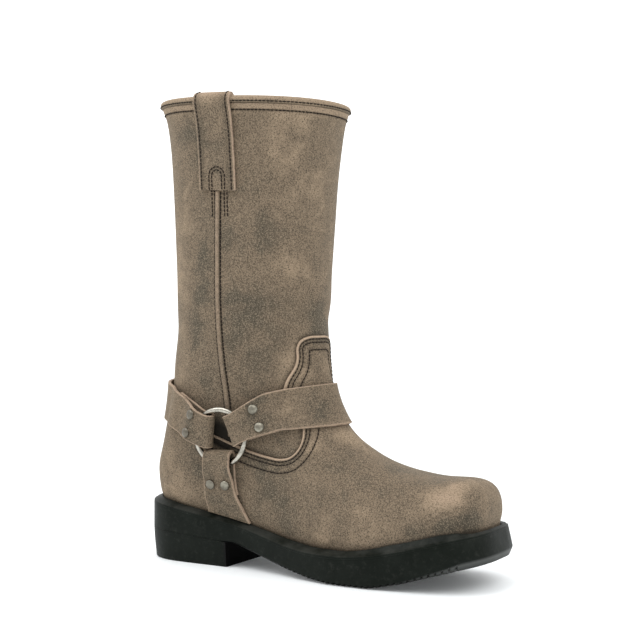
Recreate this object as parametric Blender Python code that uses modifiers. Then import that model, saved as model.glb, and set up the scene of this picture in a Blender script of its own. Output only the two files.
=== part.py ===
"""Harness boot for the right foot: a pull-on boot with a square toe, a block heel and a ring harness.

The upper is lofted through sections of the last, from the toe over the instep to the collar.
Vamp, welt, insole, straps and bindings are worked out from that same surface.
Sizes are in millimetres, and become metres as each mesh is made. x runs from the heel's back to the
toe, y to the wearer's left (medial on a right foot) and z up from the floor.
"""

import math

import bmesh
import bpy
import numpy as np
from mathutils import Vector
from mathutils.bvhtree import BVHTree

MM = 0.001
GAP = 0.3

# Driving dimensions
SOLE_BACK = -3.0
SOLE_TIP = 300.5
COLLAR_BACK_Z = 367.5
COLLAR_FRONT_Z = 360.5
WALL = 2.2
VAMP_THICKNESS = 1.6
VAMP_FACE = GAP + VAMP_THICKNESS
WELT_HEIGHT = 4.6
WELT_SLOPE = 3.4
INSOLE_THICKNESS = 3.0
HEEL_LENGTH = 85.0
HEEL_TAPER = 1.8
TOE_LEAN = 0.24
SOLE_EDGE_LIFT = 2.4
SOLE_EDGE_RUN = 3.5
SOLE_RIM = 1.0
TREAD_START = 140.0
TREAD_END = 284.0
TREAD_PITCH = 6.0
TREAD_GROOVE = 2.4
TREAD_DEPTH = 2.2
FRONT_STRAP_WIDTH = 32.0
REAR_STRAP_WIDTH = 30.0
STRAP_END_WIDTH = 26.0
STRAP_WIDENS = (16.0, 40.0)
STRAP_THICKNESS = 2.4
STRAP_CLEARANCE = 0.68
FOLD_SLACK = 1.0
FOLD_REACH = 2.2
LOW_FOLD_REACH = 1.2
RING_RADIUS = 21.5
RING_WIRE = 2.3
RING_X = 85.0
RING_Z = 104.5
RING_STANDOFF = 6.4
RIVET_RADIUS = 4.0
RIVET_SHARE = 0.62
LOW_RIVET_SHARE = 0.5
RIVET_LIFT = 0.6
FRONT_RIVETS_AT = 33.0
REAR_RIVETS_AT = 26.0
LOW_RIVETS_AT = 38.0
STRAP_TAIL = 46.0
PULL_X = 88.9
PULL_WIDTH = 32.0
PULL_THICKNESS = 2.8
PULL_OUTSIDE = 70.0
PULL_INSIDE = 57.0
BEAD_RADIUS = 2.6
BEAD_LIFT = 3.3
SEAM_WIDTH = 3.6
SEAM_HEIGHT = 0.9

# Sections of the last, toe to collar. Each is a closed loop in the plane through its back (or bottom)
# point and its front (or top) point. lateral and medial are its half widths, the powers say how square
# its lower and upper halves are, and widest is where the loop is broadest, as a share of its height.
# The loops run on below the sole's top, where the upper is cut open.
SECTION_COLUMNS = (
    "back_x", "back_z", "front_x", "front_z", "lateral", "medial", "low_power", "top_power", "widest",
)
SECTIONS = (
    (295.0, 24.0, 295.0, 78.5, 37.0, 42.0, 2.3, 2.8, 0.46),
    (258.0, 14.0, 258.0, 76.6, 42.5, 45.5, 2.3, 2.6, 0.45),
    (232.0, 8.0, 232.0, 79.5, 46.0, 46.0, 2.3, 2.4, 0.42),
    (205.0, 5.0, 207.0, 86.5, 47.5, 44.5, 2.3, 2.2, 0.40),
    (172.0, 6.0, 189.5, 96.0, 45.0, 39.5, 2.3, 2.1, 0.40),
    (138.0, 12.0, 178.0, 105.0, 40.5, 35.5, 2.4, 2.0, 0.42),
    (105.0, 20.0, 170.0, 114.0, 37.5, 34.0, 2.5, 2.0, 0.44),
    (68.0, 26.0, 163.8, 124.5, 36.5, 34.5, 2.6, 2.0, 0.45),
    (32.0, 32.0, 159.0, 136.0, 37.0, 36.0, 2.7, 2.0, 0.45),
    (7.5, 46.0, 155.8, 149.0, 38.5, 37.5, 2.7, 2.0, 0.46),
    (4.0, 68.0, 153.8, 163.0, 40.5, 39.5, 2.7, 2.1, 0.47),
    (10.0, 95.0, 152.8, 178.0, 42.5, 41.5, 2.6, 2.1, 0.48),
    (16.0, 125.0, 152.3, 194.0, 45.5, 45.0, 2.4, 2.1, 0.49),
    (19.3, 155.0, 152.0, 211.0, 48.0, 48.0, 2.3, 2.2, 0.50),
    (21.0, 188.0, 152.3, 230.0, 50.0, 50.0, 2.2, 2.2, 0.50),
    (21.5, 222.0, 153.5, 251.0, 51.5, 51.5, 2.2, 2.2, 0.50),
    (20.5, 258.0, 155.3, 276.0, 53.0, 53.0, 2.2, 2.2, 0.50),
    (19.0, 295.0, 157.3, 304.0, 54.5, 54.5, 2.2, 2.2, 0.50),
    (17.0, 332.0, 160.0, 329.0, 57.0, 57.0, 2.2, 2.2, 0.50),
    (13.5, 357.5, 163.0, 350.0, 60.0, 60.0, 2.2, 2.2, 0.50),
    (9.5, COLLAR_BACK_Z, 166.0, COLLAR_FRONT_Z, 62.0, 62.0, 2.2, 2.2, 0.50),
)
TOE_PLAN_POWER = 2.7
TOE_PROFILE_POWER = 3.9
TOE_ROWS = 5
ROWS_PER_SECTION = 1
LOOP_POINTS = 24

# The sole, heel to toe, as x, lateral, medial, top and bottom: half widths before its ends are rounded
# off, and the heights of its edges
SOLE = (
    (SOLE_BACK, 37.0, 36.0, 46.0, 25.0),
    (20.0, 38.5, 37.0, 43.7, 24.0),
    (45.0, 39.5, 37.0, 40.3, 22.6),
    (70.0, 39.5, 35.5, 36.5, 21.0),
    (88.0, 39.5, 34.5, 33.5, 19.5),
    (105.0, 40.5, 34.5, 30.4, 15.5),
    (125.0, 43.5, 36.0, 26.0, 10.3),
    (148.0, 48.5, 41.0, 21.8, 5.2),
    (172.0, 53.5, 47.0, 20.0, 1.5),
    (192.0, 56.0, 51.0, 20.2, 0.0),
    (216.0, 55.5, 53.5, 22.4, 0.0),
    (240.0, 52.5, 53.5, 27.0, 4.3),
    (263.0, 48.5, 51.5, 33.0, 11.3),
    (283.0, 45.5, 49.5, 38.0, 17.2),
    (SOLE_TIP, 43.0, 48.0, 41.6, 21.2),
)
TOE_ROUNDING = 40.0
TOE_ROUNDING_POWER = 2.7
HEEL_ROUNDING = 37.0
HEEL_ROUNDING_POWER = 2.3

# Upper edge of the vamp seen from the side, from behind the heel to the instep, as x and z
VAMP_EDGE = (
    (-30.0, 131.0), (14.0, 127.0), (42.0, 117.5), (69.0, 107.0), (100.0, 95.5), (122.0, 89.8),
    (134.0, 88.3), (142.0, 90.2), (147.0, 95.5), (149.0, 103.5), (148.0, 112.0), (146.0, 122.0),
    (146.0, 126.0), (260.0, 126.0),
)
# The vamp's tab seen from the front: height, and where its lateral and medial edges are
TAB_EDGES = (
    (122.0, -29.5, 15.5), (140.0, -28.3, 14.3), (150.0, -27.3, 13.3), (156.0, -25.4, 11.4),
    (161.0, -24.0, 10.0), (166.0, -23.5, 9.5), (176.0, -23.9, 9.9), (180.3, -22.2, 8.2),
    (182.7, -18.6, 4.6), (183.7, -14.5, 0.5),
)
# Side seam of the shaft, as x and z
SEAM_LINE = ((88.4, 296.4), (86.6, 250.0), (85.4, 207.0), (86.0, 168.0), (88.0, 132.0), (89.5, 104.0))

# Middle lines of the harness straps, as the angle round the ankle (0 at the front) and height
FRONT_STRAP = (
    (-90.0, 106.0), (-76.0, 110.0), (-62.0, 115.3), (-48.0, 121.3), (-35.0, 125.8), (0.0, 129.6),
)
REAR_STRAP = (
    (-90.0, 107.6), (-104.0, 109.2), (-113.0, 111.8), (-121.0, 115.8), (-129.0, 120.2), (-137.0, 124.2),
    (-150.0, 128.5), (-180.0, 131.5),
)
# Middle line and width of the strap under the ring, as x, z and width, from the ring to the welt
UNDER_STRAP = (
    (83.5, 105.0, 23.0), (83.0, 86.0, 23.5), (82.0, 66.0, 27.5), (84.0, 50.0, 33.0), (86.0, 36.0, 41.0),
)


def smooth_columns(rows, at):
    """Every column of a table, read at positions along its rows by a cubic that doesn't overshoot."""
    values = np.asarray(rows, float)
    knots = np.arange(len(values), dtype=float)
    return smooth_values(knots, values, at)


def smooth_values(knots, values, at):
    """Monotone cubic interpolation of one or more columns of values over increasing knots."""
    knots = np.asarray(knots, float)
    values = np.asarray(values, float).reshape(len(knots), -1)
    at = np.clip(np.asarray(at, float), knots[0], knots[-1])
    width = np.diff(knots)[:, None]
    rise = np.diff(values, axis=0) / width
    slope = np.zeros_like(values)
    same_way = rise[:-1] * rise[1:] > 0
    total = np.where(same_way, rise[:-1] + rise[1:], 1.0)
    slope[1:-1] = np.where(same_way, 2 * rise[:-1] * rise[1:] / total, 0.0)
    slope[0], slope[-1] = rise[0], rise[-1]
    left = np.clip(np.searchsorted(knots, at, side="right") - 1, 0, len(knots) - 2)
    t = ((at - knots[left]) / width[left, 0])[:, None]
    before, after = values[left], values[left + 1]
    return (
        (1 + 2 * t) * (1 - t) ** 2 * before
        + t * (1 - t) ** 2 * width[left] * slope[left]
        + t**2 * (3 - 2 * t) * after
        + t**2 * (t - 1) * width[left] * slope[left + 1]
    )


def signed_power(value, power):
    return np.sign(value) * np.abs(value) ** power


def last_loop(station, angles):
    """One closed loop of the last. station counts the rows of SECTIONS, and below 1 the toe rounds off."""
    row = dict(zip(SECTION_COLUMNS, smooth_columns(SECTIONS, [station])[0]))
    reach = max(0.0, 1.0 - station)
    plan = (1 - reach**TOE_PLAN_POWER) ** (1 / TOE_PLAN_POWER)
    profile = (1 - reach**TOE_PROFILE_POWER) ** (1 / TOE_PROFILE_POWER)
    across, up = np.cos(angles), np.sin(angles)
    power = np.where(up > 0, row["top_power"], row["low_power"])
    half_width = np.where(across > 0, row["medial"], row["lateral"]) * plan
    middle = (row["medial"] - row["lateral"]) / 2 * (1 - plan)
    y = middle + half_width * signed_power(across, 2 / power)
    height = np.where(up > 0, 1 - row["widest"], row["widest"])
    share = row["widest"] + profile * height * signed_power(up, 2 / power)
    x = row["back_x"] + share * (row["front_x"] - row["back_x"])
    z = row["back_z"] + share * (row["front_z"] - row["back_z"])
    return np.stack([x, y, z], axis=1)


def even_loop(station, count):
    """A loop of the last with its points evenly spaced along it, starting at its back."""
    angles = np.linspace(-math.pi / 2, 3 * math.pi / 2, 721)
    loop = last_loop(station, angles)
    along = np.concatenate([[0], np.cumsum(np.linalg.norm(np.diff(loop, axis=0), axis=1))])
    wanted = np.linspace(0, along[-1], count + 1)[:-1]
    return np.stack([np.interp(wanted, along, loop[:, k]) for k in range(3)], axis=1)


def last_stations():
    """Stations of the mesh's rows: close together round the toe, then even up to the collar."""
    turns = np.linspace(math.pi / 2, 0, TOE_ROWS + 1)[1:]
    toe = 1 - np.sin(turns) ** (2 / TOE_PLAN_POWER)
    rest = np.linspace(1, len(SECTIONS) - 1, (len(SECTIONS) - 2) * ROWS_PER_SECTION + 1)[1:]
    return np.concatenate([toe, rest])


def sole_values(x):
    """The sole's table read at x, with its toe and heel rounded off in plan."""
    table = np.asarray(SOLE)
    columns = smooth_values(table[:, 0], table[:, 1:], x)
    lateral, medial, top, bottom = columns.T
    toe = np.clip((np.asarray(x) - SOLE_TIP + TOE_ROUNDING) / TOE_ROUNDING, 0, 1)
    heel = np.clip((SOLE_BACK + HEEL_ROUNDING - np.asarray(x)) / HEEL_ROUNDING, 0, 1)
    rounding = (1 - toe**TOE_ROUNDING_POWER) ** (1 / TOE_ROUNDING_POWER)
    rounding *= (1 - heel**HEEL_ROUNDING_POWER) ** (1 / HEEL_ROUNDING_POWER)
    middle = (medial - lateral) / 2 * (1 - rounding)
    return middle - lateral * rounding, middle + medial * rounding, top, bottom


def clear_scene():
    for obj in list(bpy.data.objects):
        bpy.data.objects.remove(obj, do_unlink=True)


def new_collection(name):
    collection = bpy.data.collections.new(name)
    bpy.context.scene.collection.children.link(collection)
    return collection


def new_material(name, colour, roughness, metallic=0.0):
    material = bpy.data.materials.new(name)
    material.use_nodes = True
    shader = material.node_tree.nodes["Principled BSDF"]
    shader.inputs["Base Color"].default_value = (*colour, 1.0)
    shader.inputs["Roughness"].default_value = roughness
    shader.inputs["Metallic"].default_value = metallic
    material.diffuse_color = (*colour, 1.0)
    return material


def add_mesh(name, points, faces, collection, material=None, triangles=False):
    """A mesh object from points in millimetres, its faces turned outwards."""
    mesh = bpy.data.meshes.new(name)
    mesh.from_pydata([tuple(point) for point in np.asarray(points) * MM], [], faces)
    work = bmesh.new()
    work.from_mesh(mesh)
    bmesh.ops.recalc_face_normals(work, faces=work.faces)
    if triangles:
        bmesh.ops.triangulate(work, faces=work.faces)
    work.to_mesh(mesh)
    work.free()
    obj = bpy.data.objects.new(name, mesh)
    collection.objects.link(obj)
    if material:
        mesh.materials.append(material)
    return obj


def add_cutter(name, points, faces, triangles=False):
    cutter = add_mesh(name, points, faces, CUTTERS, triangles=triangles)
    cutter.hide_render = True
    cutter.display_type = "WIRE"
    return cutter


def add_modifier(obj, name, kind, **settings):
    modifier = obj.modifiers.new(name, kind)
    for key, value in settings.items():
        setattr(modifier, key, value)
    return modifier


def cut(obj, cutter, operation="DIFFERENCE"):
    add_modifier(obj, cutter.name, "BOOLEAN", object=cutter, operation=operation, solver="EXACT")


def displace(obj, distance):
    """Moves a surface along its own normals."""
    add_modifier(obj, "Offset", "DISPLACE", strength=distance * MM, mid_level=0.0)


def grid_faces(rows, columns, closed=False):
    """Quads of a grid of points, its columns joined round when closed."""
    faces = []
    for i in range(rows - 1):
        for j in range(columns if closed else columns - 1):
            k = (j + 1) % columns
            faces.append((i * columns + j, i * columns + k, (i + 1) * columns + k, (i + 1) * columns + j))
    return faces


def split_faces(quads):
    """Each quad as two triangles, so that every copy of a surface has the same facets."""
    return [face for a, b, c, d in quads for face in ((a, b, c), (a, c, d))]


def last_mesh(stations, count, capped):
    """Points and faces of the last's skin, closed at the toe, and closed at the collar when capped."""
    loops = [even_loop(station, count) for station in stations]
    points = np.concatenate(loops + [last_loop(0.0, np.array([0.0]))])
    faces = split_faces(grid_faces(len(loops), count, closed=True))
    tip = len(points) - 1
    faces += [(tip, j, (j + 1) % count) for j in range(count)]
    if capped:
        faces.append(tuple(range((len(loops) - 1) * count, len(loops) * count)))
    return points, faces


def prism(name, outline, axis, low, high):
    """A cutter from an outline: (x, z) points run along y, or (y, z) points run along x."""
    ends = []
    for depth in (low, high):
        for a, z in outline:
            ends.append((a, depth, z) if axis == "y" else (depth, a, z))
    n = len(outline)
    faces = [tuple(range(n)), tuple(range(n, 2 * n))]
    faces += [(i, (i + 1) % n, n + (i + 1) % n, n + i) for i in range(n)]
    return add_cutter(name, ends, faces)


def rounded_line(points, steps=4):
    """A smooth line through the given points."""
    points = np.asarray(points, float)
    knots = np.concatenate([[0], np.cumsum(np.linalg.norm(np.diff(points, axis=0), axis=1))])
    slope = np.gradient(points, knots, axis=0)
    line = []
    for i in range(len(points) - 1):
        span = knots[i + 1] - knots[i]
        for t in np.linspace(0, 1, steps, endpoint=False):
            line.append(
                (1 + 2 * t) * (1 - t) ** 2 * points[i] + t * (1 - t) ** 2 * span * slope[i]
                + t**2 * (3 - 2 * t) * points[i + 1] + t**2 * (t - 1) * span * slope[i + 1]
            )
    return np.array(line + [points[-1]])


def layered_body(name, layers, material):
    """A solid between layers of the sole, lowest first. A layer holds x, lateral y, medial y and z."""
    count = len(layers[0][0])
    points = []
    for x, lateral, medial, z in layers:
        points += list(zip(x, lateral, z)) + list(zip(x, medial, z))
    ring = list(range(count)) + list(range(2 * count - 1, count - 1, -1))
    faces = []
    for base in (0, (len(layers) - 1) * 2 * count):
        faces += [(base + i, base + i + 1, base + count + i + 1, base + count + i) for i in range(count - 1)]
    for low in range(len(layers) - 1):
        a, b = low * 2 * count, (low + 1) * 2 * count
        for i, at in enumerate(ring):
            after = ring[(i + 1) % len(ring)]
            faces.append((a + at, a + after, b + after, b + at))
    return add_mesh(name, points, faces, BOOT, material)


def sole_stations(low, high, count):
    """Stations along the sole, closer together at the ends that are rounded off."""
    turn = np.linspace(0.06, math.pi - 0.06, count)
    return low + (high - low) * (1 - np.cos(turn)) / 2


def sole_layer(x, inset, edge, lift=0.0):
    """One layer of the sole: its outline drawn in by inset, at the height of its top or bottom edge.

    Where the toe springs up, the sole's side leans forward as it goes down.
    """
    lateral, medial, top, bottom = sole_values(x)
    half = (medial - lateral) / 2
    middle = (medial + lateral) / 2
    half = half * (1 - inset / 45)
    length = SOLE_TIP - SOLE_BACK
    drawn = SOLE_BACK + inset + (x - SOLE_BACK) * (1 - 2 * inset / length)
    z = (top if edge == "top" else bottom) + lift
    spring = np.clip((x - 225) / 50, 0, 1)
    drawn = drawn + TOE_LEAN * spring * np.maximum(0, top - z)
    return drawn, middle - half, middle + half, z


def make_outsole():
    x = list(sole_stations(SOLE_BACK, SOLE_TIP, 36))
    grooves = np.arange(TREAD_START, TREAD_END, TREAD_PITCH)
    for start in grooves:
        x = [at for at in x if not start - 0.6 < at < start + TREAD_GROOVE + 0.6]
        x += [start, start + 0.3, start + TREAD_GROOVE - 0.3, start + TREAD_GROOVE]
    x = np.array(sorted(x))
    tread = np.zeros(len(x))
    for start in grooves:
        tread[(x > start + 0.1) & (x < start + TREAD_GROOVE - 0.1)] = TREAD_DEPTH
    ahead_of_heel = np.interp(x, (HEEL_LENGTH - 6, HEEL_LENGTH + 8), (0.15, 1.0))
    layers = [
        sole_layer(x, SOLE_EDGE_RUN * ahead_of_heel, "bottom", tread),
        sole_layer(x, 0.0, "bottom", SOLE_EDGE_LIFT * ahead_of_heel),
        sole_layer(x, 0.0, "top"),
    ]
    return layered_body("outsole", layers, RUBBER)


def make_heel():
    x = SOLE_BACK + (HEEL_LENGTH - SOLE_BACK) * (1 - np.cos(np.linspace(0.1, math.pi / 2, 16)))
    layers = []
    for inset, height in ((HEEL_TAPER + 0.8, 0.0), (HEEL_TAPER, 1.0), (0.0, None)):
        drawn, lateral, medial, bottom = sole_layer(x, inset, "bottom", -GAP)
        drawn = SOLE_BACK + inset + (x - SOLE_BACK) * (1 - inset / (HEEL_LENGTH - SOLE_BACK))
        z = bottom if height is None else np.full(len(x), height)
        layers.append((drawn, lateral, medial, z))
    return layered_body("heel", layers, RUBBER)


def make_welt():
    x = sole_stations(SOLE_BACK, SOLE_TIP, 34)
    layers = [
        sole_layer(x, SOLE_RIM, "top", GAP),
        sole_layer(x, SOLE_RIM + WELT_SLOPE, "top", WELT_HEIGHT),
    ]
    welt = layered_body("welt", layers, RUBBER)
    cut(welt, LAST_FACE)
    return welt


def make_insole():
    x = sole_stations(SOLE_BACK, SOLE_TIP, 30)
    layers = [
        sole_layer(x, SOLE_RIM, "top", GAP),
        sole_layer(x, SOLE_RIM, "top", GAP + INSOLE_THICKNESS),
    ]
    insole = layered_body("insole", layers, LINING)
    cut(insole, LAST_INSIDE, "INTERSECT")
    return insole


def make_below_sole_top():
    """Everything under the sole's top, which opens the upper underneath."""
    x = np.linspace(SOLE_BACK - 40, SOLE_TIP + 40, 60)
    _, _, top, _ = sole_values(x)
    points = []
    for at, z in zip(x, top + GAP):
        points += [(at, -120, -60), (at, 120, -60), (at, 120, z), (at, -120, z)]
    faces = grid_faces(len(x), 4, closed=True)
    faces += [(0, 1, 2, 3), tuple(range(4 * len(x) - 4, 4 * len(x)))]
    return add_cutter("below_sole_top", points, faces)


def make_upper():
    points, faces = last_mesh(last_stations(), LOOP_POINTS, capped=False)
    upper = add_mesh("upper", points, faces, BOOT, LEATHER, triangles=True)
    add_modifier(upper, "Wall", "SOLIDIFY", thickness=WALL * MM, offset=-1.0, use_even_offset=True)
    cut(upper, BELOW_SOLE_TOP)
    return upper


def make_overlay(name, low, thickness, outline, material):
    """A layer of leather on the upper: the last's skin moved out, thickened and cut to an outline."""
    points, faces = last_mesh(last_stations(), LOOP_POINTS, capped=False)
    overlay = add_mesh(name, points, faces, BOOT, material, triangles=True)
    displace(overlay, low)
    add_modifier(overlay, "Leather", "SOLIDIFY", thickness=thickness * MM, offset=1.0, use_even_offset=True)
    cut(overlay, outline, "INTERSECT")
    return overlay


def make_vamp():
    edge = [tuple(point) for point in rounded_line(VAMP_EDGE)]
    side = prism("vamp_side", edge + [(340.0, 126.0), (340.0, -40.0), (-30.0, -40.0)], "y", -120, 120)
    lateral = [(low, z) for z, low, _ in TAB_EDGES]
    medial = [(high, z) for z, _, high in TAB_EDGES]
    tab = prism("vamp_tab", lateral + medial[::-1], "x", 100, 200)
    cut(side, tab, "UNION")
    vamp = make_overlay("vamp", GAP, VAMP_THICKNESS, side, LEATHER)
    cut(vamp, BELOW_SOLE_TOP)
    return vamp


def make_seam(name, side):
    line = rounded_line(SEAM_LINE, steps=2)
    left = [(x - SEAM_WIDTH / 2, z) for x, z in line]
    right = [(x + SEAM_WIDTH / 2, z) for x, z in line]
    near, far = sorted((side * 20.0, side * 120.0))
    outline = prism(name + "_outline", left + right[::-1], "y", near, far)
    return make_overlay(name, GAP, SEAM_HEIGHT, outline, EDGE)


def skin_at(tree, origin, direction):
    """Where a line from inside the boot leaves its skin, and the way the skin faces there."""
    place, normal, _, _ = tree.ray_cast(Vector(origin) * MM, Vector(direction))
    normal = np.array(normal)
    if np.dot(normal, direction) < 0:
        normal = -normal
    return np.array(place) / MM, normal


def skin_tree(offset):
    """A search tree over a fine copy of the last's skin, moved out by offset."""
    stations = np.concatenate([last_stations()[:TOE_ROWS], np.linspace(1, len(SECTIONS) - 1, 96)[1:]])
    points, faces = last_mesh(stations, 96, capped=False)
    mesh = bpy.data.meshes.new("fine_skin")
    mesh.from_pydata([tuple(point) for point in points * MM], [], faces)
    work = bmesh.new()
    work.from_mesh(mesh)
    bmesh.ops.recalc_face_normals(work, faces=work.faces)
    work.normal_update()
    for vert in work.verts:
        vert.co += vert.normal * offset * MM
    tree = BVHTree.FromBMesh(work)
    work.free()
    bpy.data.meshes.remove(mesh)
    return tree


def strap_line(rows, count=181):
    """A strap's middle line on the skin, from one ring's centre to the other's: length, angle, height."""
    rows = np.asarray(rows, float)
    ends = rows[:-1][::-1].copy()
    ends[:, 0] = 2 * rows[-1, 0] - ends[:, 0]
    rows = np.concatenate([rows, ends])
    order = np.argsort(rows[:, 0])
    angle = np.linspace(rows[0, 0], rows[-1, 0], count)
    height = smooth_values(rows[order, 0], rows[order, 1], angle)[:, 0]
    places = []
    for turn, z in zip(np.radians(angle), height):
        place, _ = skin_at(FACE_TREE, (RING_X, 0, z), (math.cos(turn), math.sin(turn), 0))
        places.append(place)
    steps = np.linalg.norm(np.diff(places, axis=0), axis=1)
    return np.concatenate([[0], np.cumsum(steps)]), angle, height


def strap_point(line, along, across):
    """The skin under a strap, at a length along its middle line and a distance across it."""
    length, angle, height = line
    turn = math.radians(np.interp(along, length, angle))
    z = np.interp(along, length, height)
    ahead = np.interp(along + 2, length, height) - np.interp(along - 2, length, height)
    turned = math.radians(np.interp(along + 2, length, angle) - np.interp(along - 2, length, angle))
    slope = math.atan2(ahead, 4.0)
    radius = 4.0 / abs(turned) if turned else 60.0
    turn -= math.copysign(1, turned) * across * math.sin(slope) / radius
    z += across * math.cos(slope)
    return skin_at(FACE_TREE, (RING_X, 0, z), (math.cos(turn), math.sin(turn), 0))


def folded_end(plane_height, half_width, reach):
    """A strap's end folded round the ring, as lengths from the ring's centre and heights over the skin.

    plane_height gives the height of the ring's own plane at a length. The ring's wire runs through the
    fold in a curve, so the fold reaches in to where the strap's edges meet the wire.
    """
    low = STRAP_CLEARANCE + STRAP_THICKNESS / 2
    high = low + STRAP_THICKNESS + STRAP_CLEARANCE
    bend = RING_WIRE + FOLD_SLACK + STRAP_THICKNESS / 2
    deep = math.sqrt(RING_RADIUS**2 - half_width**2) - reach
    out = RING_RADIUS + 2.5
    path = [(STRAP_TAIL, low), (STRAP_TAIL - 6, low)]
    path += [(along, low) for along in (35.0, 30.0)]
    path += [(along, max(low, plane_height(along) - bend)) for along in (out, (out + deep) / 2)]
    middle = plane_height(deep)
    radius = min(bend, middle - low)
    for turn in np.radians(np.linspace(-90, 90, 5)):
        lift = radius if turn < 0 else bend
        path.append((deep - bend * math.cos(turn), middle + lift * math.sin(turn)))
    path += [(along, plane_height(along) + bend) for along in ((out + deep) / 2, out)]
    top = plane_height(out) + bend
    path += [(along, top + (high - top) * share) for along, share in ((34.5, 0.8), (39.5, 0.97))]
    path += [(STRAP_TAIL - 1, high), (STRAP_TAIL + 5, (high + low) / 2 + 0.3), (STRAP_TAIL + 11, low)]
    return path


def thickened(name, grid, thickness, material):
    """A strip of leather about a grid of points along its middle."""
    grid = np.asarray(grid)
    rows, columns = grid.shape[:2]
    strip = add_mesh(name, grid.reshape(-1, 3), grid_faces(rows, columns), BOOT, material)
    add_modifier(strip, "Leather", "SOLIDIFY", thickness=thickness * MM, offset=0.0, use_even_offset=True)
    return strip


def add_rivet(name, place, normal):
    """A domed rivet cap on a strap's face."""
    profile = ((0.0, RIVET_RADIUS), (0.5, RIVET_RADIUS), (1.5, RIVET_RADIUS * 0.62))
    side = np.cross(normal, (0.0, 0.0, 1.0))
    side /= np.linalg.norm(side)
    up = np.cross(side, normal)
    points = []
    for height, radius in profile:
        for turn in np.linspace(0, 2 * math.pi, 8, endpoint=False):
            points.append(place + normal * height + radius * (side * math.cos(turn) + up * math.sin(turn)))
    points.append(place + normal * 1.9)
    faces = grid_faces(3, 8, closed=True) + [tuple(range(8))]
    faces += [(16 + j, 16 + (j + 1) % 8, 24) for j in range(8)]
    return add_mesh(name, points, faces, BOOT, NICKEL)


def strap_height(path, along):
    """Height of a strap's outer layer at a length along it."""
    lengths = [place[0] for place in path]
    turn = int(np.argmin(lengths))
    outer = path[turn:]
    return np.interp(along, [place[0] for place in outer], [place[1] for place in outer])


def strap_face(point_at, path, along, edge, share):
    """A place just over a strap's face, a share of the way from its middle to its edge, and its normal."""
    corners = []
    for step in (-2.5, 2.5):
        for across in (0.0, edge):
            place, normal = point_at(along + step, across)
            height = strap_height(path, along + step) + STRAP_THICKNESS / 2 + RIVET_LIFT
            corners.append(place + normal * height)
    corners = np.array(corners)
    lengthways = corners[2:].mean(axis=0) - corners[:2].mean(axis=0)
    across = corners[1::2].mean(axis=0) - corners[::2].mean(axis=0)
    face = np.cross(lengthways, across)
    face *= math.copysign(1.0, np.dot(face, normal)) / np.linalg.norm(face)
    return corners[::2].mean(axis=0) + across * share, face


def make_harness_strap(name, rows, full_width, rings, rivets, rivets_at):
    """A strap from ring to ring, folded round both, with two rivets through each end."""
    line = strap_line(rows)
    whole = line[0][-1]
    low = STRAP_CLEARANCE + STRAP_THICKNESS / 2

    def plane_height(ring, along):
        place, normal = strap_point(line, along, 0.0)
        centre, axis = ring
        return np.dot(centre - place, axis) / np.dot(normal, axis)

    half_width = STRAP_END_WIDTH / 2 + abs(rows[0][1] - RING_Z)
    first = folded_end(lambda along: plane_height(rings[0], along), half_width, FOLD_REACH)
    last = folded_end(lambda along: plane_height(rings[1], whole - along), half_width, FOLD_REACH)
    back = [(whole - along, height) for along, height in last][::-1]
    start, stop = first[-1][0], back[0][0]
    rows_between = 2 * int((stop - start) / 16) + 1
    middle = [(along, low) for along in np.linspace(start, stop, rows_between + 2)[1:-1]]
    grid = []
    for along, height in first + middle + back:
        width = np.interp(min(along, whole - along), STRAP_WIDENS, (STRAP_END_WIDTH, full_width))
        row = []
        for across in np.linspace(-width / 2, width / 2, 3):
            place, normal = strap_point(line, along, across)
            row.append(place + normal * height)
        grid.append(row)
    thickened(name, grid, STRAP_THICKNESS, LEATHER)
    for end, path, names in ((0.0, first, rivets[0]), (whole, last, rivets[1])):
        for rivet, edge in zip(names, (STRAP_END_WIDTH / 2, -STRAP_END_WIDTH / 2)):
            seat = strap_face(
                lambda along, across: strap_point(line, abs(end - along), across),
                path, rivets_at, edge, RIVET_SHARE,
            )
            add_rivet(rivet, *seat)


def under_point(side, along, across, end=0.0):
    """The skin under the short strap, at a length down from the ring's centre and a share of its width.

    end brings the place down to the welt, whose top slopes, when it is 1.
    """
    table = np.asarray(UNDER_STRAP)
    z = RING_Z - along
    x, width = smooth_values(table[::-1, 1], table[::-1][:, [0, 2]], [z])[0]
    x += across * width / 2
    _, _, top, _ = sole_values([x])
    z += end * (top[0] + WELT_HEIGHT + 2.0 - z)
    return skin_at(FACE_TREE, (x, 0, z), (0, side, 0))


def make_under_strap(name, side, ring, rivets):
    centre, axis = ring

    def plane_height(along):
        place, normal = under_point(side, along, 0.0)
        return np.dot(centre - place, axis) / np.dot(normal, axis)

    half_width = UNDER_STRAP[0][2] / 2 + abs(UNDER_STRAP[0][0] - RING_X)
    path = folded_end(plane_height, half_width, LOW_FOLD_REACH)
    low = STRAP_CLEARANCE + STRAP_THICKNESS / 2
    stations = [(along, height, 0.0) for along, height in path]
    stations += [(path[-1][0] + 4.0, low, 0.5), (path[-1][0] + 8.0, low, 1.0)]
    grid = []
    for along, height, end in stations:
        row = []
        for across in np.linspace(-1, 1, 3):
            place, normal = under_point(side, along, across, end)
            row.append(place + normal * height)
        grid.append(row)
    thickened(name, grid, STRAP_THICKNESS, LEATHER)
    for rivet, edge in zip(rivets, (-1.0, 1.0)):
        seat = strap_face(
            lambda along, across: under_point(side, along, across), path, LOW_RIVETS_AT, edge, LOW_RIVET_SHARE
        )
        add_rivet(rivet, *seat)


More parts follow.
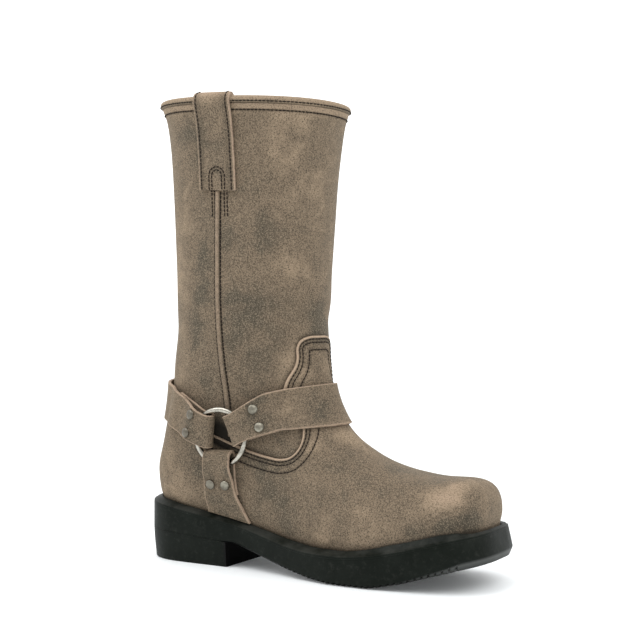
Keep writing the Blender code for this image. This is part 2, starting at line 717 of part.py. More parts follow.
def ring_frame(side):
    """Centre and axis of a harness ring, which lies along the ankle's side."""
    place, axis = skin_at(FACE_TREE, (RING_X, 0, RING_Z), (0, side, 0))
    for turn in np.linspace(0, 2 * math.pi, 12, endpoint=False):
        x, z = RING_X + RING_RADIUS * math.cos(turn), RING_Z + RING_RADIUS * math.sin(turn)
        axis = axis + skin_at(FACE_TREE, (x, 0, z), (0, side, 0))[1]
    axis /= np.linalg.norm(axis)
    return place + axis * RING_STANDOFF, axis


def tube_ring(name, centres, outward, up, radius, sides, material):
    """A closed tube about a ring of centres."""
    points = []
    for place, out in zip(centres, outward):
        for angle in np.linspace(0, 2 * math.pi, sides, endpoint=False):
            points.append(place + radius * (out * math.cos(angle) + np.asarray(up) * math.sin(angle)))
    faces = grid_faces(len(centres), sides, closed=True)
    last = (len(centres) - 1) * sides
    faces += [(last + j, last + (j + 1) % sides, (j + 1) % sides, j) for j in range(sides)]
    return add_mesh(name, points, faces, BOOT, material)


def make_ring(name, centre, axis):
    up = np.cross(axis, (1.0, 0.0, 0.0))
    up /= np.linalg.norm(up)
    along = np.cross(up, axis)
    outward = [along * math.cos(turn) + up * math.sin(turn) for turn in np.linspace(0, 2 * math.pi, 25)[:-1]]
    return tube_ring(name, centre + RING_RADIUS * np.array(outward), outward, axis, RING_WIRE, 6, STEEL)


def make_binding():
    """The rolled bead along the collar's edge."""
    loop = even_loop(len(SECTIONS) - 1, 36)
    outward = loop - loop.mean(axis=0)
    outward /= np.linalg.norm(outward, axis=1)[:, None]
    centres = loop - outward * WALL / 2
    centres[:, 2] += BEAD_LIFT
    return tube_ring("top_binding", centres, outward, (0, 0, 1), BEAD_RADIUS, 6, LEATHER)


def collar_z(x):
    """Height of the collar's edge, which slopes down to the front."""
    back, front = SECTIONS[-1][0], SECTIONS[-1][2]
    return COLLAR_BACK_Z + (COLLAR_FRONT_Z - COLLAR_BACK_Z) * (x - back) / (front - back)


def make_pull_strap(name, side):
    """A pull strap from outside the shaft, over the bead and down inside, as heights under the bead."""
    outside = GAP + PULL_THICKNESS / 2
    inside = -WALL - GAP - PULL_THICKNESS / 2
    over = BEAD_RADIUS + 0.5 + PULL_THICKNESS / 2
    path = [(drop, outside + 0.2) for drop in np.linspace(PULL_OUTSIDE, 28, 5)]
    path += [(18.0, outside + 0.5), (9.0, outside + 1.2)]
    for turn in np.radians(np.linspace(0, 180, 9)):
        path.append((-over * math.sin(turn), -WALL / 2 + over * math.cos(turn)))
    path += [(10.0, inside - 1.3), (19.0, inside - 0.7), (30.0, inside - 0.4)]
    path += [(43.0, inside - 0.4), (PULL_INSIDE, inside - 0.4)]
    grid = []
    for drop, height in path:
        row = []
        for across in np.linspace(-PULL_WIDTH / 2, PULL_WIDTH / 2, 3):
            x = PULL_X + across
            z = collar_z(x) + BEAD_LIFT - drop
            place, normal = skin_at(SKIN_TREE, (x, 0, min(z, collar_z(x) - 0.6)), (0, side, 0))
            normal[2] = 0
            normal /= np.linalg.norm(normal)
            place = place + normal * height
            place[2] = z
            row.append(place)
        grid.append(row)
    return thickened(name, grid, PULL_THICKNESS, LEATHER)


clear_scene()
BOOT = new_collection("harness_boot")
CUTTERS = new_collection("cutters")
LEATHER = new_material("Brown leather", (0.19, 0.14, 0.10), 0.65)
EDGE = new_material("Raw leather edge", (0.42, 0.31, 0.23), 0.7)
RUBBER = new_material("Black rubber", (0.02, 0.02, 0.02), 0.6)
LINING = new_material("Insole board", (0.3, 0.24, 0.18), 0.8)
STEEL = new_material("Steel", (0.6, 0.6, 0.58), 0.3, 1.0)
NICKEL = new_material("Aged nickel", (0.4, 0.37, 0.33), 0.4, 1.0)

BELOW_SOLE_TOP = make_below_sole_top()
WHOLE_LAST = last_mesh(last_stations(), LOOP_POINTS, capped=True)
LAST_FACE = add_cutter("last_face", *WHOLE_LAST, triangles=True)
displace(LAST_FACE, VAMP_FACE + GAP)
LAST_INSIDE = add_cutter("last_inside", *WHOLE_LAST, triangles=True)
displace(LAST_INSIDE, -WALL - GAP)
SKIN_TREE = skin_tree(0.0)
FACE_TREE = skin_tree(VAMP_FACE)

make_outsole()
make_heel()
make_welt()
make_insole()
make_upper()
make_vamp()
make_seam("side_seam_outer", -1)
make_seam("side_seam_inner", 1)
make_binding()
make_pull_strap("pull_strap_outer", -1)
make_pull_strap("pull_strap_inner", 1)

rings = {"outer": ring_frame(-1), "inner": ring_frame(1)}
for where, ring in rings.items():
    make_ring("ring_" + where, *ring)
for name, rows, width, rivets_at, first in (
    ("front_strap", FRONT_STRAP, FRONT_STRAP_WIDTH, FRONT_RIVETS_AT, 1),
    ("rear_strap", REAR_STRAP, REAR_STRAP_WIDTH, REAR_RIVETS_AT, 3),
):
    names = [[f"rivet_{where}_{first + k}" for k in (0, 1)] for where in rings]
    make_harness_strap(name, rows, width, list(rings.values()), names, rivets_at)
for side, (where, ring) in zip((-1, 1), rings.items()):
    names = [f"rivet_{where}_{k}" for k in (5, 6)]
    make_under_strap("under_strap_" + where, side, ring, names)

# The outsole is the longest piece, and its box is centred over the origin
frame = bpy.data.objects.new("boot_frame", None)
lengths = [vert.co.x for vert in BOOT.objects["outsole"].data.vertices]
frame.location.x = -(min(lengths) + max(lengths)) / 2
for obj in list(BOOT.objects) + list(CUTTERS.objects):
    obj.parent = frame
BOOT.objects.link(frame)
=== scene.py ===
"""Harness boot: the looks of a packed boot, laid out as an add-on and run as a script.

The boot's surfaces are worked out from the same sections as its solids. Sizes in the tables are in
millimetres, with x from the heel's back to the toe, y to the wearer's left and z up from the floor.
"""

import functools
import math

import bpy
import numpy as np
from bpy.props import FloatProperty, FloatVectorProperty, PointerProperty
from mathutils import Matrix, Vector
from mathutils.bvhtree import BVHTree


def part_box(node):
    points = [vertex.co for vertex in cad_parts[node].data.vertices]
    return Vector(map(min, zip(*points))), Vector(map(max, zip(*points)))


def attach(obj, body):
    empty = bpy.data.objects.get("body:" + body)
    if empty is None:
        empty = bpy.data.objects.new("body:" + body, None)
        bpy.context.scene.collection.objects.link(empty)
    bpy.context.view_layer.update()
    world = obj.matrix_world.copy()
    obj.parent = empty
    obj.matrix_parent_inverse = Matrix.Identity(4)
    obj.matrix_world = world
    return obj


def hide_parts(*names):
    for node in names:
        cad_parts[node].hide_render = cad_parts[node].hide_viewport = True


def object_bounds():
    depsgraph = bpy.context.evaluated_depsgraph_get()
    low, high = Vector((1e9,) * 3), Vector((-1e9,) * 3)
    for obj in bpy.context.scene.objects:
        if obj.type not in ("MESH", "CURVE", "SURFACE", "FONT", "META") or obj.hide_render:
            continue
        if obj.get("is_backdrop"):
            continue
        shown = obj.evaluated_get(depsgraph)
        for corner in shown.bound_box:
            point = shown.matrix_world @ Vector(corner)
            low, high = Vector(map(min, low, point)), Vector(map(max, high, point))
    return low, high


bl_info = {
    "name": "Harness boot",
    "version": (1, 0, 0),
    "blender": (4, 5, 0),
    "location": "View3D > Sidebar > Boot",
    "description": "Dresses a packed harness boot with leather, stitches, rubber and metal",
    "category": "Object",
}

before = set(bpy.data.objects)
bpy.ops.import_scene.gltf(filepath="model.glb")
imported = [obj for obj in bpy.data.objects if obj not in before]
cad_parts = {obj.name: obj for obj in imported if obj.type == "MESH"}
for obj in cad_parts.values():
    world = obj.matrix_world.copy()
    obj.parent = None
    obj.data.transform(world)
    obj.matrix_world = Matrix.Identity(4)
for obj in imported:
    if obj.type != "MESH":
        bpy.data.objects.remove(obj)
CAD_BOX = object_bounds()

MM = 0.001
GAP = 0.3

# Both sides of the boot, with the way that each lies along y
SIDES = (("outer", -1), ("inner", 1))

# Sizes of the pieces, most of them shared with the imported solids
SOLE_BACK = -3.0
SOLE_TIP = 300.5
SOLE_HALF_WIDTH = 45.0
COLLAR_BACK_Z = 367.5
COLLAR_FRONT_Z = 360.5
WALL = 2.2
VAMP_THICKNESS = 1.6
VAMP_FACE = GAP + VAMP_THICKNESS
WELT_HEIGHT = 4.6
HEEL_LENGTH = 85.0
TOE_LEAN = 0.24
TOE_SPRING = (225.0, 275.0)
SOLE_EDGE_LIFT = 2.4
SOLE_EDGE_RUN = 3.5
SOLE_RIM = 0.1
FRONT_STRAP_WIDTH = 32.0
REAR_STRAP_WIDTH = 30.0
STRAP_END_WIDTH = 26.0
STRAP_WIDENS = (16.0, 40.0)
STRAP_THICKNESS = 2.4
STRAP_CLEARANCE = 0.68
FOLD_SLACK = 1.0
FOLD_REACH = 2.2
LOW_FOLD_REACH = 1.2
RING_RADIUS = 21.5
RING_WIRE = 2.3
RING_X = 85.0
RING_Z = 104.5
RING_STANDOFF = 6.4
RIVET_RADIUS = 4.0
RIVET_SHARE = 0.62
LOW_RIVET_SHARE = 0.5
RIVET_HEIGHT = 1.9
RIVET_SINK = 0.15
FRONT_RIVETS_AT = 33.0
REAR_RIVETS_AT = 26.0
LOW_RIVETS_AT = 38.0
STRAP_TAIL = 46.0
PULL_X = 88.9
PULL_WIDTH = 32.0
PULL_THICKNESS = 2.8
PULL_OUTSIDE = 70.0
PULL_INSIDE = 57.0
# How far a pull strap stands off the shaft, and where it does so more, as drops under the bead
PULL_SLACK = 0.2
PULL_OUTER = ((18.0, 0.5), (9.0, 1.2))
PULL_INNER = ((10.0, 1.3), (19.0, 0.7), (30.0, 0.4), (43.0, 0.4), (PULL_INSIDE, 0.4))
PULL_OVER_BEAD = 0.5
UNDER_COLLAR = 0.6
BEAD_RADIUS = 2.6
BEAD_LIFT = 3.3
SEAM_WIDTH = 3.6
SEAM_HEIGHT = 0.9
SEAM_ROUND = 0.96
COVER_THICKNESS = 0.5
STRAP_STEP = 2.0
STRAP_SPACING = 6.0
ANKLE_RADIUS = 60.0
# The strap's end, as lengths from the ring's centre: the layer under the ring, and the outer layer with
# the share of the way that it has come down
FOLD_UNDER = (35.0, 30.0)
FOLD_OVER = ((34.5, 0.8), (39.5, 0.97))
FOLD_PAST_RING = 2.5
SEAT_STEP = 2.5
UNDER_STRAP_FOOT = 2.0
FOOT_SHARES = (0.33, 0.67, 1.0)

# Sizes of what is finer here than in the solids
# How much higher the welt stands on the vamp towards the toe, as x and rise
WELT_RISE = ((200.0, 0.0), (235.0, 2.2), (272.0, 2.2), (286.0, 0.6), (297.0, -2.8))
# The welt's rolled rim, as steps in and up
WELT_RIM = ((0.0, 0.0), (0.05, 1.1), (0.35, 1.6), (0.9, 1.75))
# Where its slope starts, the same way, and its upper lip, as steps out and down from the vamp
WELT_BEND = (2.4, 2.9)
WELT_LIP = ((0.7, 0.2), (0.0, 0.9))
# How far outside the sole the search for the vamp starts, and how wide the welt is with no vamp and at most
WELT_START = 6.0
WELT_REACH = (8.0, 16.0)
# The heel's layers from the floor up, as inset and height, the last against the sole
HEEL_LAYERS = ((2.9, 0.0), (2.2, 0.35), (1.85, 1.0), (1.2, 8.0), (0.4, 16.0), (0.0, None))
TREAD_START = 140.0
TREAD_END = 284.0
TREAD_PITCH = 4.7
TREAD_GROOVE = 1.9
TREAD_DEPTH = 2.2
TREAD_EASE = 0.3
TREAD_CLEAR = 0.6
TOE_WEAR = (235.0, 285.0)
TOE_EDGE_LIFT = 3.4
# How worn the sole's layers are at the toe, and how far they are painted dark as in shade under the arch,
# from the lowest up
SCUFFED_LAYERS = (0.3, 0.8, 0.15, 0.0, 0.0, 0.0, 0.0)
PAINTED_SHADE_LAYERS = (1.0, 0.8, 0.0, 0.0, 0.0, 0.0, 0.0)
BEAD_ROLL = 3.0
BEAD_GAP = 0.1
STRIP_BEVEL = 0.45
STITCH_LIFT = 0.15
STITCH_SINK = 0.7

# Sections of the last, toe to collar
SECTION_COLUMNS = (
    "back_x", "back_z", "front_x", "front_z", "lateral", "medial", "low_power", "top_power", "widest",
)
SECTIONS = (
    (295.0, 24.0, 295.0, 78.5, 37.0, 42.0, 2.3, 2.8, 0.46),
    (258.0, 14.0, 258.0, 76.6, 42.5, 45.5, 2.3, 2.6, 0.45),
    (232.0, 8.0, 232.0, 79.5, 46.0, 46.0, 2.3, 2.4, 0.42),
    (205.0, 5.0, 207.0, 86.5, 47.5, 44.5, 2.3, 2.2, 0.40),
    (172.0, 6.0, 189.5, 96.0, 45.0, 39.5, 2.3, 2.1, 0.40),
    (138.0, 12.0, 178.0, 105.0, 40.5, 35.5, 2.4, 2.0, 0.42),
    (105.0, 20.0, 170.0, 114.0, 37.5, 34.0, 2.5, 2.0, 0.44),
    (68.0, 26.0, 163.8, 124.5, 36.5, 34.5, 2.6, 2.0, 0.45),
    (32.0, 32.0, 159.0, 136.0, 37.0, 36.0, 2.7, 2.0, 0.45),
    (7.5, 46.0, 155.8, 149.0, 38.5, 37.5, 2.7, 2.0, 0.46),
    (4.0, 68.0, 153.8, 163.0, 40.5, 39.5, 2.7, 2.1, 0.47),
    (10.0, 95.0, 152.8, 178.0, 42.5, 41.5, 2.6, 2.1, 0.48),
    (16.0, 125.0, 152.3, 194.0, 45.5, 45.0, 2.4, 2.1, 0.49),
    (19.3, 155.0, 152.0, 211.0, 48.0, 48.0, 2.3, 2.2, 0.50),
    (21.0, 188.0, 152.3, 230.0, 50.0, 50.0, 2.2, 2.2, 0.50),
    (21.5, 222.0, 153.5, 251.0, 51.5, 51.5, 2.2, 2.2, 0.50),
    (20.5, 258.0, 155.3, 276.0, 53.0, 53.0, 2.2, 2.2, 0.50),
    (19.0, 295.0, 157.3, 304.0, 54.5, 54.5, 2.2, 2.2, 0.50),
    (17.0, 332.0, 160.0, 329.0, 57.0, 57.0, 2.2, 2.2, 0.50),
    (13.5, 357.5, 163.0, 350.0, 60.0, 60.0, 2.2, 2.2, 0.50),
    (9.5, COLLAR_BACK_Z, 166.0, COLLAR_FRONT_Z, 62.0, 62.0, 2.2, 2.2, 0.50),
)
TOE_PLAN_POWER = 2.7
TOE_PROFILE_POWER = 3.9

# The sole, heel to toe, as x, lateral, medial, top and bottom
SOLE = (
    (SOLE_BACK, 37.0, 36.0, 46.0, 25.0),
    (20.0, 38.5, 37.0, 43.7, 24.0),
    (45.0, 39.5, 37.0, 40.3, 22.6),
    (70.0, 39.5, 35.5, 36.5, 21.0),
    (88.0, 39.5, 34.5, 33.5, 19.5),
    (105.0, 40.5, 34.5, 30.4, 15.5),
    (125.0, 43.5, 36.0, 26.0, 10.3),
    (148.0, 48.5, 41.0, 21.8, 5.2),
    (172.0, 53.5, 47.0, 20.0, 1.5),
    (192.0, 56.0, 51.0, 20.2, 0.0),
    (216.0, 55.5, 53.5, 22.4, 0.0),
    (240.0, 52.5, 53.5, 27.0, 4.3),
    (263.0, 48.5, 51.5, 33.0, 11.3),
    (283.0, 45.5, 49.5, 38.0, 17.2),
    (SOLE_TIP, 43.0, 48.0, 41.6, 21.2),
)
TOE_ROUNDING = 40.0
TOE_ROUNDING_POWER = 2.7
HEEL_ROUNDING = 37.0
HEEL_ROUNDING_POWER = 2.3

# Upper edge of the vamp seen from the side, as x and z
VAMP_EDGE = (
    (-30.0, 131.0), (14.0, 127.0), (42.0, 117.5), (69.0, 107.0), (100.0, 95.5), (122.0, 89.8),
    (134.0, 88.3), (142.0, 90.2), (147.0, 95.5), (149.0, 103.5), (148.0, 112.0), (146.0, 122.0),
    (146.0, 126.0), (260.0, 126.0),
)
# The vamp's tab seen from the front: height, and where its lateral and medial edges are
TAB_EDGES = (
    (122.0, -29.5, 15.5), (140.0, -28.3, 14.3), (150.0, -27.3, 13.3), (156.0, -25.4, 11.4),
    (161.0, -24.0, 10.0), (166.0, -23.5, 9.5), (176.0, -23.9, 9.9), (180.3, -22.2, 8.2),
    (182.7, -18.6, 4.6), (183.7, -14.5, 0.5),
)
# How much longer the tab's sides are on the skin than they look from the front
TAB_SPREAD = 1.5
# Where the vamp's outline closes, past the boot, and where the tab can't be
OUTLINE_FRONT = 340.0
OUTLINE_BELOW = -40.0
BEHIND_TAB = 100.0
FAR_OUTSIDE = -99.0
# Side seam of the shaft, as x and z
SEAM_LINE = ((88.4, 296.4), (86.6, 250.0), (85.4, 207.0), (86.0, 168.0), (88.0, 132.0), (89.5, 104.0))

# Middle lines of the harness straps, as the angle round the ankle (0 at the front) and height
FRONT_STRAP = (
    (-90.0, 106.0), (-76.0, 110.0), (-62.0, 115.3), (-48.0, 121.3), (-35.0, 125.8), (0.0, 129.6),
)
REAR_STRAP = (
    (-90.0, 107.6), (-104.0, 109.2), (-113.0, 111.8), (-121.0, 115.8), (-129.0, 120.2), (-137.0, 124.2),
    (-150.0, 128.5), (-180.0, 131.5),
)
# Middle line and width of the strap under the ring, as x, z and width
UNDER_STRAP = (
    (83.5, 105.0, 23.0), (83.0, 86.0, 23.5), (82.0, 66.0, 27.5), (84.0, 50.0, 33.0), (86.0, 36.0, 41.0),
)

# How finely the looks are modelled
TOE_ROWS = 18
ROWS_PER_SECTION = 6
LOOP_POINTS = 150
BEAD_POINTS = 160
BEAD_SIDES = 14
RING_TOUCHES = 12
RING_POINTS = 72
WIRE_SIDES = 16
SNAP = 0.12
END_TURN = 0.06
# A point well inside the ankle
INSIDE_ANKLE = (89.0, 0.0, 96.0)
STRIP_SHARES = np.array([-1.0, -0.97, -0.92, -0.87, -0.82, -0.5, 0.0, 0.5, 0.82, 0.87, 0.92, 0.97, 1.0])

# The trough where the leather goes in behind the welt, as x, depth and spread
WELT_TROUGH = ((200.0, 0.5, 3.0), (255.0, 0.6, 3.0), (288.0, 1.8, 6.5))

# Sewing, as distances from an edge
VAMP_ROWS = (2.6, 5.2, 11.0)
VAMP_EDGE_ROUND = 1.1
EDGE_CUTS = (0.15, 0.45, 1.0)
EDGE_SHARE = 0.4
GROOVE_DEPTH = 0.35
GROOVE_WIDTH = 0.65
COLLAR_ROW = 4.7
BEAD_ROW = 1.9
PULL_EDGE_ROW = 2.6
SEAM_ROW = 2.7
ARCH_HALF_WIDTHS = (4.4, 7.0)
ARCH_SHIFT = 0.7
ARCH_TOP = 315.5
ARCH_FOOT = 276.7

# Rubbed and soiled places, and painted light and shade: how far they spread, and how strong they are
COLLAR_RUB = 15.0
COLLAR_TONE = 0.25
COLLAR_BAND = 0.2
COLLAR_ROW_GRIME_AND_SHADE = 0.4
BEAD_TOP = 0.6
BEAD_FOOT = 0.75
BEAD_HIGHLIGHT = 0.6
BEAD_RAW = 0.25
BEAD_SHADE = 1.4
PULL_TOP_SPREAD = 5.0
PULL_TOP_RUB_AND_HIGHLIGHT = 0.7
PULL_ROW_GRIME_AND_SHADE = 0.3
PULL_ROW_SPREAD = 0.7
VAMP_EDGE_SHADE = 0.7
VAMP_EDGE_SPREAD = 1.8
VAMP_RAW = (1.3, 1.9)
ROW_GRIME_AND_SHADE = 0.7
RAW_CLEAN = 0.75
WELT_SHADE = 0.6
WELT_SHADE_SPREAD = 1.7
SEAM_RAW = 0.46
SEAM_RAW_SWING = 0.2
SEAM_DIRT = 0.06
SEAM_EDGE_DARKENING = 0.45
SEAM_RAW_RISES = (150.0, 230.0)
STRIP_RAW = (0.95, 0.995)
FRONT_TARNISH = 0.1
REAR_TARNISH = 0.85
UNDER_TARNISH = (0.6, 0.3)

# Soft creases of the leather: the place on the skin, how far it spreads along and up, and how far it
# stands out (or sinks, where less than zero)
CREASE_COLUMNS = ("x", "y", "z", "run", "rise", "height")
CREASES = (
    (150.0, -22.0, 199.0, 26.0, 9.0, -1.3),
    (152.0, -10.0, 216.0, 30.0, 10.0, 0.7),
    (126.0, -43.0, 162.0, 10.0, 24.0, 0.9),
    (108.0, -46.0, 170.0, 12.0, 26.0, -0.7),
    (26.0, -24.0, 190.0, 20.0, 14.0, -0.9),
    (22.0, -20.0, 156.0, 20.0, 14.0, 0.7),
    (150.0, 20.0, 196.0, 24.0, 10.0, -1.0),
    (30.0, 26.0, 184.0, 22.0, 13.0, -0.8),
)

# Lighter and darker areas of the leather from the sole up, as x, y, z, radius and strength. They hold the
# leather's own mottling together with painted light and shade, such as painted shade low on the toe and above
# the tab and painted highlights on upward folds
TONES_AND_SHADING = (
    (176, -45, 32, 8, 0.40), (181, -45, 38, 14, 0.14), (250, -45, 43, 9, -0.30), (268, -43, 45, 8, -0.42),
    (156, -43, 48, 12, -0.10), (279, -37, 49, 8, -0.36), (231, -47, 51, 15, 0.12),
    (288, -29, 51, 10, -0.44), (32, -33, 53, 8, 0.26), (47, -34, 55, 12, 0.20), (293, -21, 56, 9, -0.08),
    (296, 2, 56, 10, -0.16), (80, -44, 58, 12, -0.12), (81, -38, 63, 8, 0.25), (131, -39, 63, 15, -0.26),
    (188, -44, 64, 9, -0.20), (206, -43, 65, 11, 0.16), (265, -38, 65, 6, 0.26), (262, -36, 66, 10, 0.18),
    (34, -37, 67, 12, 0.24), (289, -25, 67, 10, -0.08), (270, -35, 68, 6, 0.30), (279, -30, 68, 7, 0.14),
    (270, -31, 70, 11, 0.24), (274, -32, 70, 6, 0.30), (212, -33, 74, 10, -0.18), (278, -26, 74, 6, 0.30),
    (291, -8, 74, 12, 0.12), (276, -20, 75, 10, 0.22), (61, -40, 76, 8, -0.20), (83, -46, 76, 13, -0.08),
    (164, -38, 76, 12, 0.16), (278, -19, 76, 6, 0.26), (265, -17, 77, 13, -0.20), (283, -7, 77, 12, 0.18),
    (175, -33, 80, 10, -0.12), (53, -40, 82, 10, -0.26), (222, -12, 83, 12, -0.14), (30, -38, 90, 12, 0.06),
    (185, -25, 90, 15, -0.24), (57, -41, 93, 9, -0.16), (157, -32, 93, 8, 0.20), (195, -10, 95, 10, 0.14),
    (160, -28, 101, 10, 0.45), (107, -43, 103, 7, 0.16), (178, -13, 104, 9, 0.20),
    (68, -46, 106, 13, -0.40), (179, -4, 106, 11, 0.35), (107, -37, 114, 12, -0.06),
    (120, -42, 118, 14, -0.10), (35, -39, 123, 12, 0.10), (157, -17, 124, 10, -0.22),
    (139, -27, 125, 9, 0.24), (157, -15, 128, 9, -0.20), (113, -43, 131, 8, -0.20),
    (120, -46, 136, 9, -0.26), (99, -42, 137, 11, -0.40), (150, -18, 138, 8, -0.10),
    (70, -46, 140, 14, -0.10), (134, -32, 148, 8, 0.20), (115, -46, 150, 18, -0.12),
    (41, -41, 151, 9, 0.22), (143, -24, 152, 9, 0.26), (53, -45, 160, 13, 0.16), (87, -49, 160, 8, -0.20),
    (119, -39, 161, 16, -0.22), (140, -27, 163, 9, 0.26), (126, -40, 168, 11, -0.18),
    (141, -28, 178, 9, 0.18), (96, -50, 188, 13, -0.36), (57, -47, 189, 12, -0.45),
    (63, -49, 194, 12, -0.30), (153, -3, 194, 12, -0.36), (153, -3, 194, 9, -0.26),
    (132, -39, 200, 16, -0.18), (152, -9, 202, 13, -0.26), (146, -25, 207, 12, 0.16),
    (66, -50, 212, 10, -0.28), (92, -50, 212, 10, -0.28), (110, -49, 212, 20, -0.24),
    (152, -18, 224, 12, 0.10), (68, -52, 225, 13, -0.42), (57, -46, 232, 14, 0.12),
    (141, -35, 239, 11, 0.26), (71, -53, 250, 13, -0.34), (155, 0, 251, 12, -0.14),
    (127, -46, 254, 14, -0.18), (46, -45, 255, 16, 0.14), (95, -54, 258, 13, -0.14),
    (97, -54, 262, 12, -0.26), (134, -42, 275, 17, -0.18), (68, -54, 283, 14, -0.16),
    (156, -20, 301, 13, 0.22), (147, -35, 306, 12, 0.32), (65, -55, 314, 13, -0.14),
    (50, -52, 318, 16, 0.10), (89, -60, 320, 22, -0.12), (156, -25, 326, 11, -0.20),
    (147, -40, 338, 9, 0.10), (110, -59, 346, 12, -0.18), (62, -58, 349, 12, -0.34),
    (111, -59, 350, 9, -0.22), (122, -57, 350, 12, -0.10), (157, -27, 362, 9, 0.30),
    (150, -36, 369, 14, 0.24), (84, -66, 371, 9, 0.30),
)
# Painted shadows that are nearly black, inside the rings and along the toe's foot by the welt, the same way
PAINTED_SHADOWS = (
    (78, -42, 110, 10, 1.0), (86, -40, 100, 11, 1.0), (78, 40, 110, 10, 1.0), (86, 40, 100, 11, 1.0),
    (288, -30, 50, 8, 0.30), (264, -43, 44, 8, 0.22), (238, -47, 36, 7, 0.16),
)
# Places on the toe that are rubbed down to pale leather, the same way
SCUFFS = (
    (268, -36, 66, 5, 0.34), (273, -33, 69, 5, 0.34), (279, -32, 67, 5, 0.40), (276, -23, 74, 6, 0.30),
)

# Camera and photograph, in degrees, millimetres and pixels
CAMERA_TURN = 30.0
CAMERA_DISTANCE = 1070.0
CAMERA_HEIGHT = 209.7
CAMERA_SIDE = 54.4
CAMERA_AIM_X = 87.0
FOCAL_PIXELS = 1310.0
HORIZON_PIXEL = 302.6
PHOTO_PIXELS = 642.0
SENSOR_MM = 36.0

# Floor and lights, in metres and watts
FLOOR_SIZE = 80.0
FLOOR_GLOW = 0.06
LIGHT_COLUMNS = ("name", "place", "target", "size", "power")
LIGHTS = (
    ("key", (-0.7, -0.9, 1.9), (0.0, 0.0, 0.15), 1.6, 15.5),
    ("fill", (1.2, -0.6, 1.6), (0.0, 0.0, 0.12), 1.4, 10.5),
)
SURROUND_BEHIND = 1.5
SURROUND_FRONT = 0.68
HORIZON = (0.1, 0.25)


# Arithmetic that the shapes share

def unit(vectors):
    """The same directions, with a length of one."""
    return vectors / np.linalg.norm(vectors, axis=-1, keepdims=True)


def bell(distance, spread):
    """One at no distance, falling off softly on both sides."""
    return np.exp(-((distance / spread) ** 2))


def full_turn(count):
    """Angles all the way round, evenly spaced."""
    return np.linspace(0, 2 * math.pi, count, endpoint=False)


def length_along(points):
    """How long a line is up to each of its points."""
    return np.concatenate([[0], np.cumsum(np.linalg.norm(np.diff(points, axis=0), axis=1))])


def eased(t, before, after, slope_before, slope_after):
    """A cubic from one value to the next, a share t of the way, with its slopes at both ends."""
    return (
        (1 + 2 * t) * (1 - t) ** 2 * before
        + t * (1 - t) ** 2 * slope_before
        + t**2 * (3 - 2 * t) * after
        + t**2 * (t - 1) * slope_after
    )


# Shape of the last and the sole

def smooth_values(knots, values, at):
    """Monotone cubic interpolation of one or more columns of values over increasing knots."""
    knots = np.asarray(knots, float)
    values = np.asarray(values, float).reshape(len(knots), -1)
    at = np.clip(np.asarray(at, float), knots[0], knots[-1])
    width = np.diff(knots)[:, None]
    rise = np.diff(values, axis=0) / width
    slope = np.zeros_like(values)
    same_way = rise[:-1] * rise[1:] > 0
    total = np.where(same_way, rise[:-1] + rise[1:], 1.0)
    slope[1:-1] = np.where(same_way, 2 * rise[:-1] * rise[1:] / total, 0.0)
    slope[0], slope[-1] = rise[0], rise[-1]
    left = np.clip(np.searchsorted(knots, at, side="right") - 1, 0, len(knots) - 2)
    t = ((at - knots[left]) / width[left, 0])[:, None]
    slope_before, slope_after = width[left] * slope[left], width[left] * slope[left + 1]
    return eased(t, values[left], values[left + 1], slope_before, slope_after)


def signed_power(value, power):
    return np.sign(value) * np.abs(value) ** power


def last_loop(station, angles):
    """One closed loop of the last. station counts the rows of SECTIONS, and below 1 the toe rounds off."""
    numbers = smooth_values(np.arange(len(SECTIONS)), SECTIONS, [station])[0]
    row = dict(zip(SECTION_COLUMNS, numbers))
    reach = max(0.0, 1.0 - station)
    plan = (1 - reach**TOE_PLAN_POWER) ** (1 / TOE_PLAN_POWER)
    profile = (1 - reach**TOE_PROFILE_POWER) ** (1 / TOE_PROFILE_POWER)
    across, up = np.cos(angles), np.sin(angles)
    power = np.where(up > 0, row["top_power"], row["low_power"])
    half_width = np.where(across > 0, row["medial"], row["lateral"]) * plan
    middle = (row["medial"] - row["lateral"]) / 2 * (1 - plan)
    y = middle + half_width * signed_power(across, 2 / power)
    height = np.where(up > 0, 1 - row["widest"], row["widest"])
    share = row["widest"] + profile * height * signed_power(up, 2 / power)
    x = row["back_x"] + share * (row["front_x"] - row["back_x"])
    z = row["back_z"] + share * (row["front_z"] - row["back_z"])
    return np.stack([x, y, z], axis=1)


def even_loop(station, count):
    """A loop of the last with its points evenly spaced along it, starting at its back."""
    angles = np.linspace(-math.pi / 2, 3 * math.pi / 2, 721)
    loop = last_loop(station, angles)
    along = length_along(loop)
    wanted = np.linspace(0, along[-1], count + 1)[:-1]
    return np.stack([np.interp(wanted, along, loop[:, k]) for k in range(3)], axis=1)


def last_stations():
    """Stations of the skin's rows: close together round the toe, then even up to the collar."""
    turns = np.linspace(math.pi / 2, 0, TOE_ROWS + 1)[1:]
    toe = 1 - np.sin(turns) ** (2 / TOE_PLAN_POWER)
    rest = np.linspace(1, len(SECTIONS) - 1, (len(SECTIONS) - 2) * ROWS_PER_SECTION + 1)[1:]
    return np.concatenate([toe, rest])


def sole_values(x):
    """The sole's table read at x, with its toe and heel rounded off in plan."""
    table = np.asarray(SOLE)
    lateral, medial, top, bottom = smooth_values(table[:, 0], table[:, 1:], x).T
    toe = np.clip((np.asarray(x) - SOLE_TIP + TOE_ROUNDING) / TOE_ROUNDING, 0, 1)
    heel = np.clip((SOLE_BACK + HEEL_ROUNDING - np.asarray(x)) / HEEL_ROUNDING, 0, 1)
    rounding = (1 - toe**TOE_ROUNDING_POWER) ** (1 / TOE_ROUNDING_POWER)
    rounding *= (1 - heel**HEEL_ROUNDING_POWER) ** (1 / HEEL_ROUNDING_POWER)
    middle = (medial - lateral) / 2 * (1 - rounding)
    return middle - lateral * rounding, middle + medial * rounding, top, bottom


